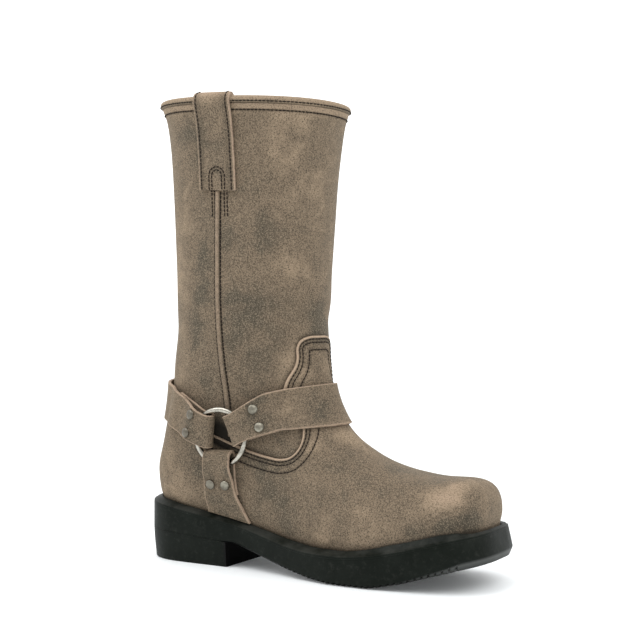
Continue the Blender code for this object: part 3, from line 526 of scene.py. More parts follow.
def sole_top(x):
    """Height of the sole's upper face at x."""
    return sole_values(x)[2]


def sole_stations(low, high, count):
    """Stations along the sole, closer together at the ends that are rounded off."""
    turn = np.linspace(END_TURN, math.pi - END_TURN, count)
    return low + (high - low) * (1 - np.cos(turn)) / 2


def sole_layer(x, inset, edge, lift=0.0):
    """One layer of the sole: its outline drawn in by inset, at the height of its top or bottom edge."""
    lateral, medial, top, bottom = sole_values(x)
    half = (medial - lateral) / 2 * (1 - inset / SOLE_HALF_WIDTH)
    middle = (medial + lateral) / 2
    length = SOLE_TIP - SOLE_BACK
    drawn = SOLE_BACK + inset + (x - SOLE_BACK) * (1 - 2 * inset / length)
    z = (top if edge == "top" else bottom) + lift
    spring = np.interp(x, TOE_SPRING, (0.0, 1.0))
    drawn = drawn + TOE_LEAN * spring * np.maximum(0, top - z)
    return drawn, middle - half, middle + half, z


def rounded_line(points, steps=4):
    """A smooth line through the given points."""
    points = np.asarray(points, float)
    knots = length_along(points)
    slope = np.gradient(points, knots, axis=0)
    line = []
    for i, span in enumerate(np.diff(knots)):
        for t in np.linspace(0, 1, steps, endpoint=False):
            line.append(eased(t, points[i], points[i + 1], span * slope[i], span * slope[i + 1]))
    return np.array(line + [points[-1]])


def welt_rise(x):
    """How much higher than its usual height the welt stands at x."""
    return np.interp(x, *zip(*WELT_RISE))


def over_welt(points):
    """How far points lie over the welt's upper edge."""
    x, _, z = points.T
    return z - sole_top(x) - GAP - WELT_HEIGHT - welt_rise(x)


def welt_trough(points):
    """How far the leather goes in where it meets the welt."""
    x, depth, spread = zip(*WELT_TROUGH)
    depth, spread = np.interp(points[:, 0], x, depth), np.interp(points[:, 0], x, spread)
    return depth * bell(over_welt(points), spread)


def crease_height(points):
    """How far the soft creases move the leather at each point."""
    height = np.zeros(len(points))
    for row in CREASES:
        crease = dict(zip(CREASE_COLUMNS, row))
        flat = np.hypot(points[:, 0] - crease["x"], points[:, 1] - crease["y"]) / crease["run"]
        up = (points[:, 2] - crease["z"]) / crease["rise"]
        height += crease["height"] * np.exp(-(flat**2) - up**2)
    return height


def marks_at(rows, points):
    """How strongly a table's marks show at each point."""
    total = np.zeros(len(points))
    for x, y, z, radius, strength in rows:
        square = ((points - (x, y, z)) ** 2).sum(axis=1)
        total += strength * np.exp(-square / radius**2)
    return total


# Sheets: triangles whose points carry normals and named fields, so that they can be cut along a line

class Sheet:
    """An open surface. fields holds one number per point under each name."""

    def __init__(self, points, normals, tris, fields):
        self.points = points
        self.normals = normals
        self.tris = tris
        self.fields = fields

    def split(self, name, level):
        """Cuts the triangles along the line where a field passes a level, and keeps both sides."""
        field = self.fields[name] - level
        field[np.abs(field) < SNAP] = 0
        side = np.sign(field)
        signs = side[self.tris]
        mixed = (signs.min(axis=1) < 0) & (signs.max(axis=1) > 0)
        made, ends, faces = {}, [], []

        def crossing(a, b):
            key = (min(a, b), max(a, b))
            if key not in made:
                made[key] = len(self.points) + len(ends)
                ends.append(key)
            return made[key]

        for tri, sign in zip(self.tris[mixed], signs[mixed]):
            if (sign == 0).any():
                k = int(np.argmin(np.abs(sign)))
                a, b, c = np.roll(tri, -k)
                middle = crossing(b, c)
                faces += [(a, b, middle), (a, middle, c)]
            else:
                k = int(np.argmax(sign != np.sign(sign.sum())))
                a, b, c = np.roll(tri, -k)
                p, q = crossing(a, b), crossing(a, c)
                faces += [(a, p, q), (p, b, c), (p, c, q)]
        self.fields[name] = field + level
        if not ends:
            return
        first, second = np.array(ends).T
        share = field[first] / (field[first] - field[second])

        def between(values):
            part = share.reshape((-1,) + (1,) * (values.ndim - 1))
            return np.concatenate([values, values[first] * (1 - part) + values[second] * part])

        self.points = between(self.points)
        self.normals = unit(between(self.normals))
        self.fields = {key: between(values) for key, values in self.fields.items()}
        self.tris = np.concatenate([self.tris[~mixed], np.array(faces)])

    def trim(self, name):
        """Cuts along the line where a field is zero, and leaves only the side where it is more."""
        self.split(name, 0.0)
        middle = self.fields[name][self.tris].mean(axis=1)
        tris = self.tris[middle > 0.0]
        used, index = np.unique(tris, return_inverse=True)
        self.tris = index.reshape(-1, 3)
        self.points = self.points[used]
        self.normals = self.normals[used]
        self.fields = {key: values[used] for key, values in self.fields.items()}

    def line(self, name, level):
        """Runs of points along a cut, each with its normals."""
        on = np.abs(self.fields[name] - level) < 1e-9
        edges = tri_edges(self.tris)
        edges = np.unique(np.sort(edges[on[edges].all(axis=1)], axis=1), axis=0)
        return [(self.points[run], self.normals[run]) for run in chained(edges.tolist())]


def tri_edges(tris):
    """The three edges of each triangle, in its own direction."""
    return np.concatenate([tris[:, [0, 1]], tris[:, [1, 2]], tris[:, [2, 0]]])


def chained(edges):
    """The edges as runs of points, each as long as it goes."""
    near = {}
    for a, b in edges:
        near.setdefault(a, []).append(b)
        near.setdefault(b, []).append(a)
    left = {(min(edge), max(edge)) for edge in edges}
    runs = []
    for start in sorted(near, key=lambda point: len(near[point])):
        run = [start]
        while True:
            here = run[-1]
            ahead = [point for point in near[here] if (min(here, point), max(here, point)) in left]
            if not ahead:
                break
            left.remove((min(here, ahead[0]), max(here, ahead[0])))
            run.append(ahead[0])
        if len(run) > 2:
            runs.append(run)
    return runs


def outline_distance(a, z, outline):
    """Signed distance of points from a closed outline, more than zero inside it."""
    outline = np.asarray(outline)
    start, end = outline, np.roll(outline, -1, axis=0)
    nearest = np.full(len(a), np.inf)
    inside = np.zeros(len(a), bool)
    for (a0, z0), (a1, z1) in zip(start, end):
        length = (a1 - a0) ** 2 + (z1 - z0) ** 2
        share = np.clip(((a - a0) * (a1 - a0) + (z - z0) * (z1 - z0)) / max(length, 1e-9), 0, 1)
        nearest = np.minimum(nearest, np.hypot(a - a0 - share * (a1 - a0), z - z0 - share * (z1 - z0)))
        if z0 != z1:
            inside ^= ((z0 > z) != (z1 > z)) & (a < a0 + (z - z0) / (z1 - z0) * (a1 - a0))
    return np.where(inside, nearest, -nearest)


def vamp_distance(points):
    """How far inside the vamp's edge a point of the skin is."""
    x, y, z = points.T
    edge = [tuple(point) for point in rounded_line(VAMP_EDGE)]
    (back, _), (_, top) = VAMP_EDGE[0], VAMP_EDGE[-1]
    edge += [(OUTLINE_FRONT, top), (OUTLINE_FRONT, OUTLINE_BELOW), (back, OUTLINE_BELOW)]
    side = outline_distance(x, z, edge)
    lateral = rounded_line([(low, height) for height, low, _ in TAB_EDGES])
    medial = rounded_line([(high, height) for height, _, high in TAB_EDGES])
    spread = np.array([TAB_SPREAD, 1.0])
    tab = outline_distance(y * TAB_SPREAD, z, np.concatenate([lateral, medial[::-1]]) * spread)
    return np.maximum(side, np.where(x > BEHIND_TAB, tab, FAR_OUTSIDE))


def collar_z(x):
    """Height of the collar's edge, which slopes down to the front."""
    back, front = SECTIONS[-1][0], SECTIONS[-1][2]
    return COLLAR_BACK_Z + (COLLAR_FRONT_Z - COLLAR_BACK_Z) * (x - back) / (front - back)


@functools.cache
def skin_parts():
    """Points, normals and triangles of the creased skin of the last."""
    loops = [even_loop(station, LOOP_POINTS) for station in last_stations()]
    points = np.concatenate(loops + [last_loop(0.0, np.array([0.0]))])
    rows, tip = len(loops), len(points) - 1
    grid = np.arange(rows * LOOP_POINTS).reshape(rows, LOOP_POINTS)
    a, b = grid[:-1], np.roll(grid, -1, axis=1)[:-1]
    c, d = np.roll(grid, -1, axis=1)[1:], grid[1:]
    tris = np.concatenate([
        np.stack([a, b, c], axis=-1).reshape(-1, 3),
        np.stack([a, c, d], axis=-1).reshape(-1, 3),
        np.stack([np.full(LOOP_POINTS, tip), np.roll(grid[0], -1), grid[0]], axis=-1),
    ])
    normals = point_normals(points, tris)
    if ((points - INSIDE_ANKLE) * normals).sum() < 0:
        tris = tris[:, ::-1]
        normals = -normals
    points = points + normals * (crease_height(points) - welt_trough(points))[:, None]
    return points, point_normals(points, tris), tris


def point_normals(points, tris):
    corners = points[tris]
    across = np.cross(corners[:, 1] - corners[:, 0], corners[:, 2] - corners[:, 0])
    normals = np.zeros_like(points)
    for k in range(3):
        np.add.at(normals, tris[:, k], across)
    return unit(normals)


def skin_sheet():
    """A fresh sheet of the skin over the sole, with its distances from the lines of cuts and seams."""
    points, normals, tris = skin_parts()
    x, _, z = points.T
    fields = {"over_sole": z - sole_top(x) - GAP, "vamp": vamp_distance(points), "collar": collar_z(x) - z}
    sheet = Sheet(points.copy(), normals.copy(), tris.copy(), fields)
    sheet.trim("over_sole")
    return sheet


@functools.cache
def skin_tree(offset):
    """A search tree over the skin, moved out by offset, in millimetres."""
    points, normals, tris = skin_parts()
    return BVHTree.FromPolygons([tuple(p) for p in points + normals * offset], tris.tolist())


def skin_at(offset, origin, direction):
    """Where a line from inside the boot leaves its skin, moved out by offset, and the way it faces there."""
    place, normal, _, _ = skin_tree(offset).ray_cast(Vector(origin), Vector(direction))
    normal = np.array(normal)
    if np.dot(normal, direction) < 0:
        normal = -normal
    return np.array(place), normal


def side_at(x, z, side, offset=0.0):
    """The skin on one side of the boot."""
    return skin_at(offset, (x, 0, z), (0, side, 0))


def ankle_at(turn, z):
    """The vamp's face at an angle round the ankle."""
    return skin_at(VAMP_FACE, (RING_X, 0, z), (math.cos(turn), math.sin(turn), 0))


def over_skin(spot, height):
    """A place at a height over a spot of the skin, which is a place and its normal."""
    place, normal = spot
    return place + normal * height


# Making pieces

@functools.cache
def frame_shift():
    """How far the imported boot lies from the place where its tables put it, along x."""
    heel_end = sole_stations(SOLE_BACK, SOLE_TIP, 2)[0]
    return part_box("outsole")[0][0] / MM - heel_end


def placed(points):
    """Points of the tables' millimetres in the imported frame's metres."""
    return (np.asarray(points, float) + (frame_shift(), 0.0, 0.0)) * MM


def set_points(obj, points):
    obj.data.vertices.foreach_set("co", placed(points).reshape(-1).astype(np.float32))
    obj.data.update()


def deselect_all():
    if bpy.context.object and bpy.context.object.mode != "OBJECT":
        bpy.ops.object.mode_set(mode="OBJECT")
    bpy.ops.object.select_all(action="DESELECT")


def pick(obj):
    """Makes a piece the only one that is selected, and the active one."""
    deselect_all()
    obj.select_set(True)
    bpy.context.view_layer.objects.active = obj


def renamed(name):
    obj = bpy.context.object
    obj.name = name
    obj.data.name = name
    return obj


def grid_piece(name, points):
    """A grid primitive whose points are moved to rows and columns of places."""
    rows, columns = points.shape[:2]
    deselect_all()
    bpy.ops.mesh.primitive_grid_add(x_subdivisions=columns - 1, y_subdivisions=rows - 1, size=1.0)
    piece = renamed(name)
    set_points(piece, points)
    return piece


def ring_piece(name, points):
    """A torus primitive whose points are moved to a closed ring of closed loops."""
    around, sides = points.shape[:2]
    deselect_all()
    bpy.ops.mesh.primitive_torus_add(major_segments=around, minor_segments=sides)
    piece = renamed(name)
    set_points(piece, points)
    face_out(piece)
    return piece


def face_out(piece):
    """Turns a closed piece's faces outwards."""
    pick(piece)
    bpy.ops.object.mode_set(mode="EDIT")
    bpy.ops.mesh.select_all(action="SELECT")
    bpy.ops.mesh.normals_make_consistent(inside=False)
    bpy.ops.object.mode_set(mode="OBJECT")


def mesh_piece(name, points, faces):
    """A piece from points and faces that no primitive gives, such as a cut sheet."""
    mesh = bpy.data.meshes.new(name)
    mesh.from_pydata([tuple(point) for point in placed(points)], [], faces)
    return linked(name, mesh)


def linked(name, data):
    """A new object in the scene with the given data."""
    obj = bpy.data.objects.new(name, data)
    bpy.context.scene.collection.objects.link(obj)
    return obj


def apply_modifier(piece, name, kind, **settings):
    pick(piece)
    modifier = piece.modifiers.new(name, kind)
    for key, value in settings.items():
        setattr(modifier, key, value)
    bpy.ops.object.modifier_apply(modifier=name)


def smooth(piece, degrees=35.0):
    pick(piece)
    bpy.ops.object.shade_smooth_by_angle(angle=math.radians(degrees))


def add_field(piece, name, values):
    """Stores a number for each point, which a material reads as an attribute."""
    attribute = piece.data.attributes.get(name) or piece.data.attributes.new(name, "FLOAT", "POINT")
    attribute.data.foreach_set("value", np.asarray(values, np.float32))


def field_of(piece, name):
    """The numbers stored for a piece's points, or zeros."""
    values = np.zeros(len(piece.data.vertices), np.float32)
    if name in piece.data.attributes:
        piece.data.attributes[name].data.foreach_get("value", values)
    return values


def weather(piece):
    """Adds the marks that the tables place on a piece to those that it was made with."""
    points = piece_points(piece)
    add_field(piece, "tone_and_shading", field_of(piece, "tone_and_shading") + marks_at(TONES_AND_SHADING, points))


def piece_points(piece):
    """A piece's points back in the tables' millimetres."""
    points = np.empty(len(piece.data.vertices) * 3, np.float32)
    piece.data.vertices.foreach_get("co", points)
    return points.reshape(-1, 3) / MM - (frame_shift(), 0.0, 0.0)


def finish_piece(piece, slot, *nodes, materials=()):
    """Gives a piece its materials, the body that it rides on and the solids that it stands for."""
    for material in materials:
        piece.data.materials.append(material)
    if worn_leather() in list(piece.data.materials):
        weather(piece)
    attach(piece, "root")
    if nodes:
        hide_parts(*nodes)
    return piece


def shell_piece(name, sheet, outer, inner):
    """A closed wall over a sheet. Faces outside, inside and along the rim have materials 0, 1 and 2."""
    count = len(sheet.points)
    points = np.concatenate([
        sheet.points + sheet.normals * np.reshape(outer, (-1, 1)),
        sheet.points + sheet.normals * np.reshape(inner, (-1, 1)),
    ])
    tris = sheet.tris
    directed = tri_edges(tris)
    keys = np.sort(directed, axis=1)
    _, index, times = np.unique(keys, axis=0, return_inverse=True, return_counts=True)
    rim = directed[times[index.reshape(-1)] == 1]
    faces = tris.tolist() + (tris[:, ::-1] + count).tolist()
    faces += np.stack([rim[:, 1], rim[:, 0], rim[:, 0] + count, rim[:, 1] + count], axis=1).tolist()
    piece = mesh_piece(name, points, faces)
    slots = np.repeat([0, 1, 2], [len(tris), len(tris), len(rim)])
    piece.data.polygons.foreach_set("material_index", slots.astype(np.int32))
    return piece


def layered_piece(name, layers):
    """A solid between layers of the sole, lowest first. A layer holds x, lateral y, medial y and z."""
    count = len(layers[0][0])
    points = []
    for x, lateral, medial, z in layers:
        points += list(zip(x, lateral, z)) + list(zip(x, medial, z))
    ring = list(range(count)) + list(range(2 * count - 1, count - 1, -1))
    faces = []
    for base in (0, (len(layers) - 1) * 2 * count):
        faces += [(base + i, base + i + 1, base + count + i + 1, base + count + i) for i in range(count - 1)]
    for low in range(len(layers) - 1):
        a, b = low * 2 * count, (low + 1) * 2 * count
        for i, at in enumerate(ring):
            after = ring[(i + 1) % len(ring)]
            faces.append((a + at, a + after, b + after, b + at))
    piece = mesh_piece(name, points, faces)
    face_out(piece)
    return piece


# Stitches

SEWN = []


def groove_cuts(row):
    """Where a sheet is cut for the groove that a row of stitches lies in."""
    return row - GROOVE_WIDTH, row, row + GROOVE_WIDTH


def sew(points, normals, lift=0.0):
    """Notes a row of stitches along a run of points, to be made with the rest."""
    pitch = bpy.context.scene.boot_sizes.stitch_pitch / MM
    normals = np.asarray(normals)
    points = np.asarray(points) + normals * lift
    along = length_along(points)
    count = max(1, int(along[-1] / pitch))
    for at in (np.arange(count) + 0.5) * along[-1] / count:
        place, ahead, behind, normal = (
            np.array([np.interp(s, along, values[:, k]) for k in range(3)])
            for s, values in ((at, points), (at + pitch / 3, points), (at - pitch / 3, points), (at, normals))
        )
        tangent = ahead - behind
        normal = normal - tangent * np.dot(normal, tangent) / max(np.dot(tangent, tangent), 1e-9)
        SEWN.append((place, unit(tangent), unit(normal)))


# Harness straps

def strap_line(rows, count=181):
    """A strap's middle line on the skin, from one ring's centre to the other's: length, angle, height."""
    rows = np.asarray(rows, float)
    ends = rows[:-1][::-1].copy()
    ends[:, 0] = 2 * rows[-1, 0] - ends[:, 0]
    rows = np.concatenate([rows, ends])
    order = np.argsort(rows[:, 0])
    angle = np.linspace(rows[0, 0], rows[-1, 0], count)
    height = smooth_values(rows[order, 0], rows[order, 1], angle)[:, 0]
    places = [ankle_at(turn, z)[0] for turn, z in zip(np.radians(angle), height)]
    return length_along(places), angle, height


def strap_point(line, along, across):
    """The skin under a strap, at a length along its middle line and a distance across it."""
    length, angle, height = line
    around = along + STRAP_STEP, along - STRAP_STEP
    turn = math.radians(np.interp(along, length, angle))
    z = np.interp(along, length, height)
    risen = np.subtract(*np.interp(around, length, height))
    turned = math.radians(np.subtract(*np.interp(around, length, angle)))
    slope = math.atan2(risen, 2 * STRAP_STEP)
    radius = 2 * STRAP_STEP / abs(turned) if turned else ANKLE_RADIUS
    turn -= math.copysign(1, turned) * across * math.sin(slope) / radius
    return ankle_at(turn, z + across * math.cos(slope))


def folded_end(plane_height, half_width, reach):
    """A strap's end folded round the ring, as lengths from the ring's centre and heights over the skin."""
    low = STRAP_CLEARANCE + STRAP_THICKNESS / 2
    high = low + STRAP_THICKNESS + STRAP_CLEARANCE
    bend = RING_WIRE + FOLD_SLACK + STRAP_THICKNESS / 2
    deep = math.sqrt(RING_RADIUS**2 - half_width**2) - reach
    out = RING_RADIUS + FOLD_PAST_RING
    path = [(along, low) for along in (STRAP_TAIL, STRAP_TAIL - 6, *FOLD_UNDER)]
    path += [(along, max(low, plane_height(along) - bend)) for along in (out, (out + deep) / 2)]
    middle = plane_height(deep)
    radius = min(bend, middle - low)
    for turn in np.radians(np.linspace(-90, 90, 9)):
        lift = radius if turn < 0 else bend
        path.append((deep - bend * math.cos(turn), middle + lift * math.sin(turn)))
    path += [(along, plane_height(along) + bend) for along in ((out + deep) / 2, out)]
    top = plane_height(out) + bend
    path += [(along, top + (high - top) * share) for along, share in FOLD_OVER]
    path += [(STRAP_TAIL - 1, high), (STRAP_TAIL + 5, (high + low) / 2 + 0.3), (STRAP_TAIL + 11, low)]
    return path


def strap_height(path, along):
    """Height of a strap's outer layer at a length along it."""
    lengths, heights = np.transpose(path)
    outer = np.argmin(lengths)
    return np.interp(along, lengths[outer:], heights[outer:])


def strap_face(point_at, path, along, edge, share):
    """A place on a strap's face, a share of the way from its middle to its edge, and its normal."""
    corners = []
    for step in (-SEAT_STEP, SEAT_STEP):
        for across in (0.0, edge):
            place, normal = point_at(along + step, across)
            corners.append(place + normal * (strap_height(path, along + step) + STRAP_THICKNESS / 2))
    corners = np.array(corners)
    lengthways = corners[2:].mean(axis=0) - corners[:2].mean(axis=0)
    across = corners[1::2].mean(axis=0) - corners[::2].mean(axis=0)
    face = unit(np.cross(lengthways, across))
    return corners[::2].mean(axis=0) + across * share, face * np.sign(np.dot(face, normal))


@functools.cache
def ring_frame(side):
    """Centre and axis of a harness ring, which lies along the ankle's side."""
    place, axis = side_at(RING_X, RING_Z, side, VAMP_FACE)
    for turn in full_turn(RING_TOUCHES):
        x, z = RING_X + RING_RADIUS * math.cos(turn), RING_Z + RING_RADIUS * math.sin(turn)
        axis = axis + side_at(x, z, side, VAMP_FACE)[1]
    axis = unit(axis)
    return place + axis * RING_STANDOFF, axis


def ring_height(side, spot):
    """How high a ring's middle plane lies over a spot of the skin."""
    centre, axis = ring_frame(side)
    place, normal = spot
    return np.dot(centre - place, axis) / np.dot(normal, axis)


def harness_path(rows):
    """Middle line, whole length and the folded ends of a strap from ring to ring."""
    line = strap_line(rows)
    whole = line[0][-1]
    half_width = STRAP_END_WIDTH / 2 + abs(rows[0][1] - RING_Z)
    ends = []
    for side, end in ((-1, 0.0), (1, whole)):
        def plane_height(along):
            return ring_height(side, strap_point(line, abs(end - along), 0.0))

        ends.append(folded_end(plane_height, half_width, FOLD_REACH))
    return line, whole, *ends


def harness_grid(rows, full_width):
    """Middle surface of a strap from ring to ring."""
    line, whole, first, last = harness_path(rows)
    low = STRAP_CLEARANCE + STRAP_THICKNESS / 2
    back = [(whole - along, height) for along, height in last][::-1]
    start, stop = first[-1][0], back[0][0]
    count = int((stop - start) / STRAP_SPACING)
    middle = [(along, low) for along in np.linspace(start, stop, count + 2)[1:-1]]
    grid = []
    for along, height in rounded_line(first + middle + back, steps=3):
        width = np.interp(min(along, whole - along), STRAP_WIDENS, (STRAP_END_WIDTH, full_width))
        grid.append([over_skin(strap_point(line, along, at), height) for at in STRIP_SHARES * width / 2])
    return np.array(grid)


def under_point(side, along, across, end=0.0):
    """The skin under the short strap, at a length down from the ring's centre and a share of its width."""
    table = np.asarray(UNDER_STRAP)[::-1]
    start = z = RING_Z - along
    for _ in range(3 if end else 1):
        x, width = smooth_values(table[:, 1], table[:, [0, 2]], [z])[0]
        x += across * width / 2
        z = start + end * (sole_top([x])[0] + WELT_HEIGHT + UNDER_STRAP_FOOT - start)
    return side_at(x, z, side, VAMP_FACE)


def under_path(side):
    """The short strap's folded end."""
    def plane_height(along):
        return ring_height(side, under_point(side, along, 0.0))

    half_width = UNDER_STRAP[0][2] / 2 + abs(UNDER_STRAP[0][0] - RING_X)
    return folded_end(plane_height, half_width, LOW_FOLD_REACH)


def under_grid(side):
    """Middle surface of the short strap from a ring to the welt."""
    path = under_path(side)
    foot, low = path[-1]
    stations = [(along, height, 0.0) for along, height in rounded_line(path, steps=3)]
    stations += [(foot, low, end) for end in FOOT_SHARES]
    return np.array([
        [over_skin(under_point(side, along, share, end), height) for share in STRIP_SHARES]
        for along, height, end in stations
    ])


def strip_piece(name, grid, thickness, soil_and_shade=None):
    """A strip of leather about its middle surface, with its corners eased and raw edges."""
    piece = grid_piece(name, grid)
    add_field(piece, "raw", np.tile(np.interp(np.abs(STRIP_SHARES), STRIP_RAW, (0.0, 1.0)), len(grid)))
    # Soil and painted shade along the rows of stitches, where given
    if soil_and_shade is not None:
        add_field(piece, "soil_and_shade", np.tile(soil_and_shade, len(grid)))
    piece.data.materials.append(worn_leather())
    piece.data.materials.append(raw_edge())
    apply_modifier(
        piece, "Leather", "SOLIDIFY", thickness=thickness * MM, offset=0.0, material_offset_rim=1,
    )
    apply_modifier(
        piece, "Eased edges", "BEVEL", width=STRIP_BEVEL * MM, segments=2, limit_method="ANGLE",
        angle_limit=math.radians(50),
    )
    face_out(piece)
    smooth(piece)
    return piece


# Shader node groups

# A Mix node's sockets for colours: its share, both colours and the result
MIX_SOCKETS = (0, 6, 7)
MIX_RESULT = 2


def new_group(name, inputs, outputs):
    group = bpy.data.node_groups.new(name, "ShaderNodeTree")
    for socket, kind, value in inputs:
        made = group.interface.new_socket(socket, in_out="INPUT", socket_type=kind)
        if value is not None:
            made.default_value = value
    for socket, kind in outputs:
        group.interface.new_socket(socket, in_out="OUTPUT", socket_type=kind)
    return group, group.nodes.new("NodeGroupInput"), group.nodes.new("NodeGroupOutput")


def add_node(tree, kind, settings=None, **inputs):
    """A node with its settings, and its inputs set or linked by name, spaces written as underscores."""
    node = tree.nodes.new(kind)
    for key, value in (settings or {}).items():
        setattr(node, key, value)
    set_inputs(tree, node, **inputs)
    return node


def set_inputs(tree, node, **inputs):
    """Sets or links inputs of a node by name, spaces written as underscores."""
    for key, value in inputs.items():
        feed(tree, node.inputs[key.replace("_", " ")], value)


def feed(tree, socket, value):
    """Links a socket to another one, or gives it a plain value."""
    if isinstance(value, bpy.types.NodeSocket):
        tree.links.new(value, socket)
    else:
        socket.default_value = value


def math_node(tree, operation, first, second=0.0, clamp=False):
    node = add_node(tree, "ShaderNodeMath", {"operation": operation, "use_clamp": clamp})
    feed(tree, node.inputs[0], first)
    feed(tree, node.inputs[1], second)
    return node.outputs[0]


def weighed(tree, first, first_weight, second, second_weight):
    """The sum of two values, each with its weight."""
    first = math_node(tree, "MULTIPLY", first, first_weight)
    return math_node(tree, "ADD", first, math_node(tree, "MULTIPLY", second, second_weight))


def layered(tree, colour, *layers):
    """A colour with others laid over it in turn, each as far as its share says."""
    colour = full(colour)
    for share, over in layers:
        node = add_node(tree, "ShaderNodeMix", {"data_type": "RGBA"})
        for socket, value in zip(MIX_SOCKETS, (share, colour, full(over))):
            feed(tree, node.inputs[socket], value)
        colour = node.outputs[MIX_RESULT]
    return colour


def full(colour):
    """A colour with its fourth number, as sockets take it."""
    return (*colour[:3], 1.0)


def blended(tree, value, low, high, first=0.0, second=1.0, kind="LINEAR"):
    """A number that goes from first to second as a value goes from low to high."""
    node = add_node(
        tree, "ShaderNodeMapRange", {"interpolation_type": kind}, Value=value,
        From_Min=low, From_Max=high, To_Min=first, To_Max=second,
    )
    return node.outputs["Result"]


def ramp(tree, value, low, high):
    """Zero under low, one over high and smooth between them."""
    return blended(tree, value, low, high, kind="SMOOTHSTEP")


def noise(tree, place, scale, detail=3.0, roughness=0.55, distortion=0.0):
    node = add_node(
        tree, "ShaderNodeTexNoise", Vector=place, Scale=scale, Detail=detail, Roughness=roughness,
        Distortion=distortion,
    )
    return node.outputs["Fac"]


@functools.cache
def mottle_group():
    """Cloudy light and dark areas of rubbed leather, and fine specks."""
    group, start, end = new_group(
        "Leather mottle",
        (("Vector", "NodeSocketVector", None), ("Tone", "NodeSocketFloat", 0.0)),
        (("Shade", "NodeSocketFloat"), ("Speck", "NodeSocketFloat")),
    )
    place = start.outputs["Vector"]
    clouds = noise(group, place, scale=14.0, roughness=0.6, distortion=0.5)
    blots = noise(group, place, scale=55.0, detail=2.0, roughness=0.5, distortion=0.8)
    shade = math_node(group, "ADD", weighed(group, clouds, 1.15, blots, 0.9), -1.025)
    # This input adds painted light and shade from the tables to the leather's own mottling
    shade = math_node(group, "ADD", shade, start.outputs["Tone"])
    coarse = noise(group, place, scale=950.0, detail=2.0, roughness=0.75)
    fine = noise(group, place, scale=1900.0, detail=1.0, roughness=0.6)
    speck = weighed(group, coarse, 0.75, fine, 0.25)
    group.links.new(shade, end.inputs["Shade"])
    group.links.new(speck, end.inputs["Speck"])
    return group


@functools.cache
def grain_group():
    """Height of leather grain: fine nap over a soft pebble."""
    group, start, end = new_group(
        "Leather grain",
        (("Vector", "NodeSocketVector", None), ("Nap", "NodeSocketFloat", 1.0)),
        (("Height", "NodeSocketFloat"),),
    )
    place = start.outputs["Vector"]
    nap = noise(group, place, scale=1300.0, roughness=0.6)
    pebble = noise(group, place, scale=320.0, roughness=0.6)
    dents = noise(group, place, scale=70.0, detail=2.0, roughness=0.5)
    height = math_node(group, "MULTIPLY", nap, math_node(group, "MULTIPLY", start.outputs["Nap"], 0.35))
    height = math_node(group, "ADD", height, weighed(group, pebble, 0.4, dents, 0.5))
    group.links.new(height, end.inputs["Height"])
    return group


def use_group(tree, group, **inputs):
    return add_node(tree, "ShaderNodeGroup", {"node_tree": group}, **inputs)


def new_material(name):
    """A material with its Principled shader, its node tree and Object coordinates."""
    material = bpy.data.materials.new(name)
    material.use_nodes = True
    tree = material.node_tree
    shader = tree.nodes["Principled BSDF"]
    place = tree.nodes.new("ShaderNodeTexCoord").outputs["Object"]
    return material, tree, shader, place


def add_bump(tree, shader, height, depth, strength=1.0):
    bump = add_node(tree, "ShaderNodeBump", Height=height, Distance=depth, Strength=strength)
    set_inputs(tree, shader, Normal=bump.outputs["Normal"])


def colours():
    return bpy.context.scene.boot_colours


def attribute(tree, name):
    return add_node(tree, "ShaderNodeAttribute", {"attribute_name": name}).outputs["Fac"]


# Materials

@functools.cache
def worn_leather():
    """Rubbed grey-brown leather with a short nap, raw edges, soiled rows of stitches, and painted light and
    shade in its colour.
    """
    material, tree, shader, place = new_material("Worn leather")
    mottle = use_group(tree, mottle_group(), Vector=place, Tone=attribute(tree, "tone_and_shading"))
    shade, speck = mottle.outputs["Shade"], mottle.outputs["Speck"]
    # The raw field also carries the painted highlight on the pull straps' upward folds
    rubbed = math_node(tree, "MULTIPLY", attribute(tree, "raw"), blended(tree, speck, 0.3, 0.55, 0.6, 1.0))
    paint = colours()
    colour = layered(
        tree, paint.leather,
        (ramp(tree, shade, 0.0, -0.42), paint.leather_dark),
        (ramp(tree, shade, 0.0, 0.45), paint.leather_light),
        (math_node(tree, "MULTIPLY", ramp(tree, speck, 0.52, 0.34), 0.95), paint.leather_speck),
        (math_node(tree, "MULTIPLY", ramp(tree, speck, 0.49, 0.66), 0.75), paint.leather_dust),
        (rubbed, paint.edge),
        # Painted shade darkens the leather nearly to black in the stitch grooves, along the vamp's edge and
        # the welt, under the bead and inside the rings, with real soil in the stitch rows
        (math_node(tree, "MULTIPLY", attribute(tree, "soil_and_shade"), 0.97, clamp=True), paint.grime_and_shade),
    )
    set_inputs(
        tree, shader, Base_Color=colour, Roughness=blended(tree, shade, -0.5, 0.5, 0.68, 0.88),
        Specular_IOR_Level=0.13, Sheen_Weight=0.07, Sheen_Tint=(1.0, 0.84, 0.6, 1.0),
    )
    grain = use_group(tree, grain_group(), Vector=place, Nap=1.0)
    add_bump(tree, shader, grain.outputs["Height"], 0.0007, 0.8)
    return material


@functools.cache
def raw_edge():
    """The pale cut edge of the leather."""
    material, tree, shader, place = new_material("Raw leather edge")
    paint = colours()
    fibres = noise(tree, place, scale=700.0, roughness=0.7)
    blots = noise(tree, place, scale=90.0, roughness=0.6)
    share = ramp(tree, weighed(tree, fibres, 1.0, blots, 0.8), 0.6, 1.0)
    colour = layered(tree, paint.edge_dark, (share, paint.edge))
    set_inputs(tree, shader, Base_Color=colour, Roughness=0.8)
    add_bump(tree, shader, fibres, 0.0004, 0.7)
    return material


